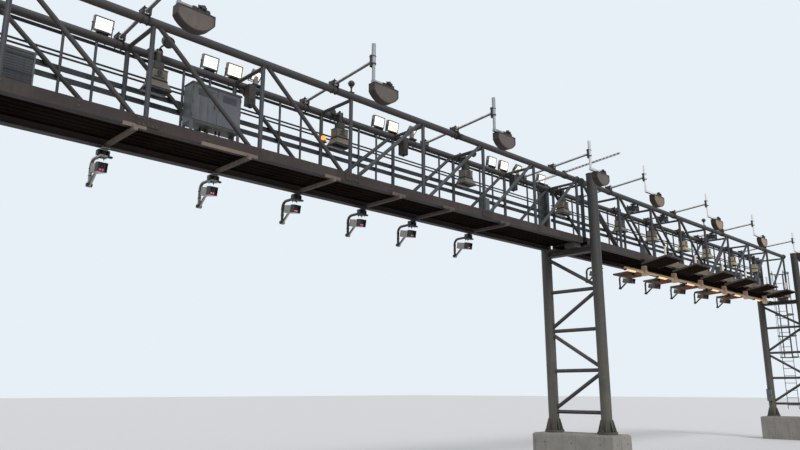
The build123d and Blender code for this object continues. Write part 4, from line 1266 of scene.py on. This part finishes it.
def add_louvres(face, width, height):
    """Tilted slats between two stiles, before a dark ground, which is painted shade behind the slats, and two
    dark bands.
    """
    for j in range(slats):
        y = (j - (slats - 1) / 2) * (height - 0.06) / slats
        tilted = face @ space_at(0, y, 0.006) @ Matrix.Rotation(math.radians(28), 4, "X")
        add_plate(cabinet_doors, tilted, (0, 0, 0), (width - 0.05, 0.034, 0.004))
    for y in (-0.08, 0.17):
        add_plate(cabinet_dark, face, (0, y, 0.008), (width - 0.04, 0.03, 0.012))
    # The dark ground behind the slats is painted shade.
    add_plate(cabinet_dark, face, (0, 0, 0.001), (width - 0.04, height - 0.05, 0.002))
    for side in both:
        add_plate(cabinet_doors, face, (side * (width / 2 - 0.012), 0, 0.007), (0.024, height, 0.014), 0.002)


def body_face(cabinet, legs, direction, sharp=0.99):
    """A cabinet's face above its legs, as (matrix, width, height)."""
    face, width, height = cabinet.face_towards(direction, sharp)
    return face @ space_at(0, legs / 2, 0), width, height - legs


print("door helpers ready")

# %% [markdown]
# Both cabinets stand on legs, whose height is the second level that a corner of the body has. The
# roof, base frame, cable ends below and the vent on the right-hand side are the same for both.

# %% Cabinets
side_vent_lines, side_vent_pitch = 8, 0.02
for name, doors in (("large_cabinet", 2), ("louvred_cabinet", 0)):
    cabinet = solids_of(name)[0]
    levels = sorted({round(p.z, 3) for p in cabinet.points})
    legs = levels[1] - levels[0]
    for direction in (to_front, to_back):
        face, width, height = body_face(cabinet, legs, direction)
        for i in range(doors):
            x = (i - (doors - 1) / 2) * width / doors
            add_door(face, x, width / doors - door_gap, height, 1 if i else -1)
        if not doors:
            add_louvres(face, width, height)
    depth = cabinet.high.y - cabinet.low.y
    roof = space_at(cabinet.middle.x, cabinet.middle.y, cabinet.high.z)
    add_plate(cabinet_doors, roof, (0, -0.004, 0.008), (width + 0.03, depth + 0.012, 0.016), 0.004)
    add_plate(cabinet_trim, roof, (0, -depth / 2 - 0.008, -0.008), (width + 0.03, 0.006, 0.03))
    base = roof @ space_at(0, 0, -height)
    add_plate(cabinet_trim, base, (0, 0, -0.015), (width - 0.01, depth - 0.01, 0.03), 0.003)
    for share in (-0.2, -0.1, 0.12, 0.2):
        add_rod(cabinet_dark, base, (share * width, 0.05, -0.03), (share * width, 0.05, -0.075), 0.016, 8)
    face, side_width, side_height = body_face(cabinet, legs, x_axis)
    # The side vent's slots are dark plates too: painted shade in the openings.
    for j in range(side_vent_lines):
        add_plate(cabinet_dark, face, (0, side_height * 0.32 - j * side_vent_pitch, 0.002),
                  (side_width * 0.5, 0.008, 0.003))
new_piece(cabinet_doors, "cabinet_doors", "cabinet_paint")
new_piece(cabinet_trim, "cabinet_trim", "bolt_steel")
new_piece(cabinet_dark, "cabinet_vents", "seal_rubber")

# %% [markdown]
# The small boxes have screwed lids and glands, the short threaded collars that seal a cable where
# it enters. The switch box on the right tower has a door with a hood and a turning handle.

# %% Lids, screws and glands
lids, dark_lids, lid_screws, glands = new_meshes(4)
lid_inset, lid_screw_inset = 0.012, 0.022


def add_lid(mesh, box, direction):
    """A raised lid with a screw near each corner, on one side of a small box."""
    face, width, height = box.face_towards(direction, 0.99)
    add_plate(mesh, face, (0, 0, 0.005), (width - lid_inset, height - lid_inset, 0.010), 0.003)
    for x, y in corners_at(width / 2 - lid_screw_inset, height / 2 - lid_screw_inset):
        add_rod(lid_screws, face, (x, y, 0.009), (x, y, 0.015), 0.008, 6)
    return face, width, height


def add_gland(x, y, z, length, radius, sides=8):
    """A gland below a box."""
    add_rod(glands, level_space, (x, y, z), (x, y, z - length), radius, sides)


for box in solids_of("junction_boxes"):
    add_lid(lids, box, to_front)
    for x in (-0.06, 0, 0.06):
        add_gland(box.middle.x + x, box.low.y + 0.06, box.low.z, 0.028, 0.014)
for box in solids_of("lamp_boxes"):
    face, width, _ = add_lid(dark_lids, box, to_front)
    for j in range(5):
        add_plate(glands, face, (0, -0.08 - j * 0.016, 0.011), (width * 0.5, 0.006, 0.003))
    add_gland(box.middle.x, face.translation.y + 0.075, box.low.z, 0.035, 0.018, 10)
switch_box = solids_of("switch_box")[0]
face, width, height = add_lid(lids, switch_box, (-1, 0, 0))
add_plate(lid_screws, face, (0, height / 2 + 0.004, 0.012), (width + 0.01, 0.008, 0.03), 0.002)
add_plate(glands, face, (width * 0.28, 0, 0.016), (0.02, 0.09, 0.012), 0.003)
for y in (-0.04, 0.04):
    add_gland(switch_box.middle.x, switch_box.middle.y + y, switch_box.low.z, 0.04, 0.016)
new_piece(lids, "box_lids", "cabinet_paint")
new_piece(dark_lids, "lamp_box_lids", "lamp_box_shell")
new_piece(lid_screws, "box_screws", "bolt_steel")
new_piece(glands, "box_glands", "seal_rubber")

# %% [markdown]
# ## Strip lamps
# Warm strip lamps hang just under the equipment rail on the right span, one before each hanger.
# Each is a shallow tray with end caps and a lit window that faces the road. The rail's hangers are
# closed by plates with bolts.

# %% Strip lamps and hanger plates
strip_trays, strip_windows, hanger_plates = new_meshes(3)
rail_low, rail_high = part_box("equipment_rail")
rail_y, rail_foot, rail_size = (rail_low.y + rail_high.y) / 2, 0.09, 0.06
hanger_first, hanger_pitch, hanger_count, hanger_half = 4.56, 2.09, 6, 0.065
lamp_length, lamp_before = 0.62, 0.92
rail_bottom = rail_low.z + rail_foot
for i in range(hanger_count):
    hanger_x = hanger_first + i * hanger_pitch
    spot = space_at(hanger_x - lamp_before, rail_y, rail_bottom)
    add_plate(strip_trays, spot, (0, 0, -0.02), (lamp_length, 0.085, 0.028), 0.003)
    add_plate(strip_windows, spot, (0, 0, -0.040), (lamp_length - 0.03, 0.072, 0.014), 0.004)
    add_plate(strip_windows, spot, (0, -0.046, -0.022), (lamp_length - 0.03, 0.006, 0.026), 0.002)
    for side in both:
        add_plate(strip_trays, spot, (side * lamp_length / 2, 0, -0.026), (0.012, 0.09, 0.05), 0.002)
        add_plate(strip_trays, spot, (side * lamp_length * 0.3, 0, -0.002), (0.03, 0.07, 0.012))
        hanger = space_at(hanger_x, rail_y + side * hanger_half, rail_bottom + rail_size / 2)
        add_plate(hanger_plates, hanger, (0, side * 0.004, 0), (0.15, 0.008, 0.13), 0.002)
        for x, z in corners_at(0.05, 0.045):
            add_nut(hanger_plates, hanger, (x, side * 0.008, z), (0, side, 0), 0.018, 0.01)
new_piece(strip_trays, "strip_lamp_trays", "dark_bracket")
new_piece(strip_windows, "strip_lamp_windows", "strip_light")
new_piece(hanger_plates, "rail_hanger_plates", "tan_paint")

# %% [markdown]
# ## Towers
# At the foot of each column nuts hold the round base plate down on its grout, two to a bolt. Weld
# beads ring each brace where it meets a column, and the pedestals show the small plugged holes
# that the ties of the casting boards leave in concrete.

# %% Anchor nuts, weld beads and tie plugs
anchor_nuts, weld_beads, tie_plugs = new_meshes(3)
anchors, anchor_inset, plate_top, nut_across = 8, 0.045, 0.06, 0.046
brace_radius, brace_first, brace_step, brace_levels, bead = 0.048, 0.52, 1.04, 4, 0.007
column_radius, tie_heights, tie_depth = 0.1365, (0.25, 0.68), 0.004


def add_tie_plug(place, outward):
    """A short plug in the concrete, which ends a millimetre further out than its place."""
    place, outward = Vector(place), Vector(outward)
    add_rod(tie_plugs, level_space, place - outward * tie_depth, place + outward * 0.001, 0.016, 14)


for tower in ("left", "centre", "right"):
    pedestal_low, pedestal_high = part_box(f"pedestal_{tower}")
    tower_x, tower_y, _ = (pedestal_low + pedestal_high) / 2
    for row, inward in (("front", 1), ("rear", -1)):
        low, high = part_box(f"column_{tower}_{row}")
        middle_y = (low.y + high.y) / 2
        for i in range(anchors):
            x, y = on_circle((high.x - low.x) / 2 - anchor_inset, 360 * i / anchors)
            at = Vector((tower_x + x, middle_y + y, low.z + plate_top))
            add_nut(anchor_nuts, level_space, at, z_axis, nut_across)
            add_rod(anchor_nuts, level_space, at + Vector((0, 0, 0.03)), at + Vector((0, 0, 0.04)), 0.024, 6)
        for i in range(brace_levels):
            z = pedestal_high.z + brace_first + i * brace_step
            add_hoop(weld_beads, level_space, (tower_x, middle_y + inward * (column_radius - 0.006), z),
                     y_axis, brace_radius + 0.002, bead)
        for z, thickness in ((low.z + plate_top, 0.009), (high.z - 0.02, 0.006)):
            add_hoop(weld_beads, level_space, (tower_x, middle_y, z), z_axis, column_radius, thickness, 32)
    for z in tie_heights:
        for side, x in zip(both, (pedestal_low.x + 0.001, pedestal_high.x - 0.001)):
            for y in (-0.8, 0, 0.8):
                add_tie_plug((x, tower_y + y, z), (side, 0, 0))
        for side, y in zip(both, (pedestal_low.y, pedestal_high.y)):
            for x in (-0.25, 0.25):
                add_tie_plug((tower_x + x, y, z), (0, side, 0))
new_piece(anchor_nuts, "anchor_nuts", "bolt_steel")
new_piece(weld_beads, "tower_weld_beads", "column_paint")
new_piece(tie_plugs, "pedestal_tie_plugs", "seal_rubber")

# %% [markdown]
# ## Trusses and deck edge
# The posts are welded to the chords and stand on small bolted foot plates. The chords end in
# flanges with a ring of bolts, where one length of truss is joined to the next.

# %% Posts and flanges
truss_welds, foot_plates, deck_bolts, splices, flanges = new_meshes(5)
bays, web_radius = 8, 0.038
flange_half, flange_radius, flange_bolt_ring, flange_bolts = 0.012, 0.102, 0.087, 8
truss_bolt, truss_stud = 0.022, 0.008
decks = [(*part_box(name), (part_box(name)[1].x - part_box(name)[0].x) / bays)
         for name in ("deck_frame_left", "deck_frame_right")]


def kept_in(x, low, high, margin):
    """A place that is moved inward where it would come too near an end."""
    return min(max(x, low.x + margin), high.x - margin)


for deck_low, deck_high, bay in decks:
    for y, top in chords.values():
        chord_z = top - chord_radius
        for i in range(bays + 1):
            x = kept_in(deck_low.x + i * bay, deck_low, deck_high, web_radius)
            add_hoop(truss_welds, level_space, (x, y, chord_z - chord_radius + 0.004), z_axis,
                     web_radius + 0.002, 0.006, 18)
            add_plate(foot_plates, level_space, (x, y, deck_high.z + 0.006), (0.13, 0.11, 0.010), 0.002)
            for dx, dy in corners_at(0.052, 0.042):
                if deck_low.x < x + dx < deck_high.x:
                    add_nut(deck_bolts, level_space, (x + dx, y + dy, deck_high.z + 0.011), z_axis, 0.016)
        for x, inward in ((deck_low.x + flange_half, 1), (deck_high.x - flange_half, -1)):
            add_rod(flanges, level_space, (x - flange_half, y, chord_z), (x + flange_half, y, chord_z),
                    flange_radius, 28)
            for i in range(flange_bolts):
                across, up = on_circle(flange_bolt_ring, 45 * i + 22.5)
                add_nut(deck_bolts, level_space, (x + inward * flange_half, y + across, chord_z + up),
                        (inward, 0, 0), truss_bolt, 0.01)
print("bays:", bays, "of", [round(bay, 3) for _, _, bay in decks])

# %% [markdown]
# Bolt heads along the deck's edge show where the joists inside are fixed, with a splice plate every
# second bay. The edge is lower at the front, where it is a channel, than at the back.

# %% Edge bolts and splice plates
fascia_height, back_beam_height = 0.18, 0.275
for deck_low, deck_high, bay in decks:
    for y, outward, tall in ((deck_low.y, -1, fascia_height), (deck_high.y, 1, back_beam_height)):
        for i in range(2 * bays + 1):
            x = kept_in(deck_low.x + i * bay / 2, deck_low, deck_high, 0.03)
            for z in (deck_high.z - 0.04, deck_high.z - 0.11):
                add_nut(deck_bolts, level_space, (x, y, z), (0, outward, 0), truss_bolt, truss_stud)
        for i in range(2, bays, 2):
            splice, splice_height = space_at(deck_low.x + i * bay, y, deck_high.z - tall / 2), tall * 0.78
            add_plate(splices, splice, (0, outward * 0.005, 0), (0.36, 0.010, splice_height), 0.002)
            for x in (-0.14, -0.07, 0.07, 0.14):
                for side in both:
                    add_nut(deck_bolts, splice, (x, outward * 0.010, side * splice_height * 0.32),
                            (0, outward, 0), truss_bolt, truss_stud)
new_piece(truss_welds, "truss_weld_beads", "truss_paint")
new_piece(foot_plates, "post_foot_plates", "truss_paint")
new_piece(flanges, "chord_flanges", "truss_paint")
new_piece(splices, "deck_splice_plates", "fascia_paint")
new_piece(deck_bolts, "deck_and_flange_bolts", "bolt_steel")

# %% [markdown]
# ## Wing panels
# The wing panels are thin sheets, stiffened by a folded lip round the three free edges. Pale zinc
# sleeves with caps cover the short posts at their outer corners.

# %% Panel lips and sleeves
panel_lips, panel_sleeves = new_meshes(2)
lip_drop, lip_height, lip_sheet = -0.008, 0.05, 0.006
for name, outward in (("front_wing_panels", -1), ("rear_wing_panels", 1)):
    for panel in solids_of(name):
        face, width, length = panel.face_towards(z_axis, 0.95)
        free_edge = 1 if (face.to_3x3() @ Vector(y_axis)).y * outward > 0 else -1
        for side in both:
            add_plate(panel_lips, face, (side * (width / 2 + 0.002), 0, lip_drop),
                      (lip_sheet, length - 0.012, lip_height))
        add_plate(panel_lips, face, (0, free_edge * (length / 2 - lip_sheet), lip_drop),
                  (width, lip_sheet, lip_height))
        if name == "front_wing_panels":
            post = space_at(panel.low.x + 0.04, panel.low.y + 0.043, panel.high.z)
            add_rod(panel_sleeves, post, (0, 0, -0.27), (0, 0, -0.006), 0.03, 16)
            add_rod(panel_sleeves, post, (0, 0, -0.03), (0, 0, -0.004), 0.036, 16)
            add_plate(panel_sleeves, post, (0.01, 0.02, -0.285), (0.10, 0.10, 0.012), 0.002)
new_piece(panel_lips, "wing_panel_lips", "wing_edge")
new_piece(panel_sleeves, "wing_post_sleeves", "sleeve_zinc")

# %% [markdown]
# ## Round lamps, ball posts and beacon
# The round lamps are black drums with a dark window below and cooling rings round the side. The
# ball posts carry a seam where the two half shells meet. The beacon stands on a black base and
# its lens is ribbed, which spreads its light to the sides.

# %% Rings and ribs
drum_rings, drum_glass, beacon_ribs, beacon_base = new_meshes(4)
for lamp in solids_of("round_lamps"):
    radius = (lamp.high.x - lamp.low.x) / 2
    spot = space_at(lamp.middle.x, lamp.low.y + radius, lamp.low.z)
    for z, inset, thickness in ((0.012, 0.004, 0.012), (0.07, 0, 0.006), (0.125, 0.002, 0.008)):
        add_hoop(drum_rings, spot, (0, 0, z), z_axis, radius - inset, thickness, 36)
    add_rod(drum_glass, spot, (0, 0, -0.006), (0, 0, 0.004), radius * 0.84, 36, radius * 0.88)
    for i in range(3):
        add_plate(drum_rings, spot, (*on_circle(radius * 0.9, 120 * i + 30), 0.16), (0.03, 0.03, 0.05), 0.004)
for ball in solids_of("dome_posts"):
    radius = (ball.high.x - ball.low.x) / 2
    spot = space_at(ball.middle.x, ball.middle.y, ball.high.z - radius)
    add_hoop(drum_rings, spot, (0, 0, 0), z_axis, radius, 0.004, 32)
    add_rod(drum_rings, spot, (0, 0, -radius - 0.02), (0, 0, -radius + 0.01), 0.026, 16)
    add_plate(drum_rings, spot, (0, 0, ball.low.z - ball.high.z + radius + 0.006), (0.11, 0.09, 0.010), 0.002)
beacon = solids_of("beacon")[0]
lens_radius = (beacon.high.x - beacon.low.x) / 2
spot = space_at(beacon.middle.x, beacon.middle.y, beacon.low.z + 0.016)
for i in range(5):
    add_hoop(beacon_ribs, spot, (0, 0, 0.028 + i * 0.014), z_axis, lens_radius - 0.001, 0.004, 28)
add_rod(beacon_base, spot, (0, 0, 0), (0, 0, 0.018), lens_radius + 0.006, 24)
add_plate(beacon_base, spot, (0, 0, -0.012), (2 * lens_radius + 0.02, 2 * lens_radius + 0.012, 0.012), 0.002)
new_piece(drum_rings, "drum_and_ball_rings", "round_lamp_shell")
new_piece(drum_glass, "drum_windows", "dark_glass")
new_piece(beacon_ribs, "beacon_ribs", "beacon_lens")
new_piece(beacon_base, "beacon_base", "seal_rubber")

# %% [markdown]
# ## Ladder
# Bolts join the cage's hoops to the upright bars, and plates fix the ladder's arms to the bracing
# of the right tower.

# %% Ladder bolts
ladder_bolts = bmesh.new()
cage_low, cage_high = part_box("ladder_cage")
ladder_low, ladder_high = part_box("ladder")
hoop_radius, hoop_turn, hoop_pitch, hoops, bar_radius = 0.36, 50, 0.9, 5, 0.3428
cage_x = cage_high.x - hoop_radius
for i in range(hoops):
    centre = Vector((cage_x, 0, cage_low.z + 0.025 + i * hoop_pitch))
    for bar in range(-2, 3):
        out = Vector((*on_circle(1, bar * hoop_turn), 0))
        if bar:
            add_nut(ladder_bolts, level_space, centre + out * (hoop_radius - 0.001), out, 0.014)
        add_nut(ladder_bolts, level_space, centre + out * bar_radius, -out, 0.014)
for y in (ladder_low.y + 0.006, ladder_high.y - 0.006):
    for i in range(brace_levels):
        z = pedestal_high.z + brace_first + i * brace_step
        add_plate(ladder_bolts, level_space, (ladder_low.x + 0.008, y, z), (0.012, 0.06, 0.06), 0.002)
new_piece(ladder_bolts, "ladder_bolts", "bolt_steel")
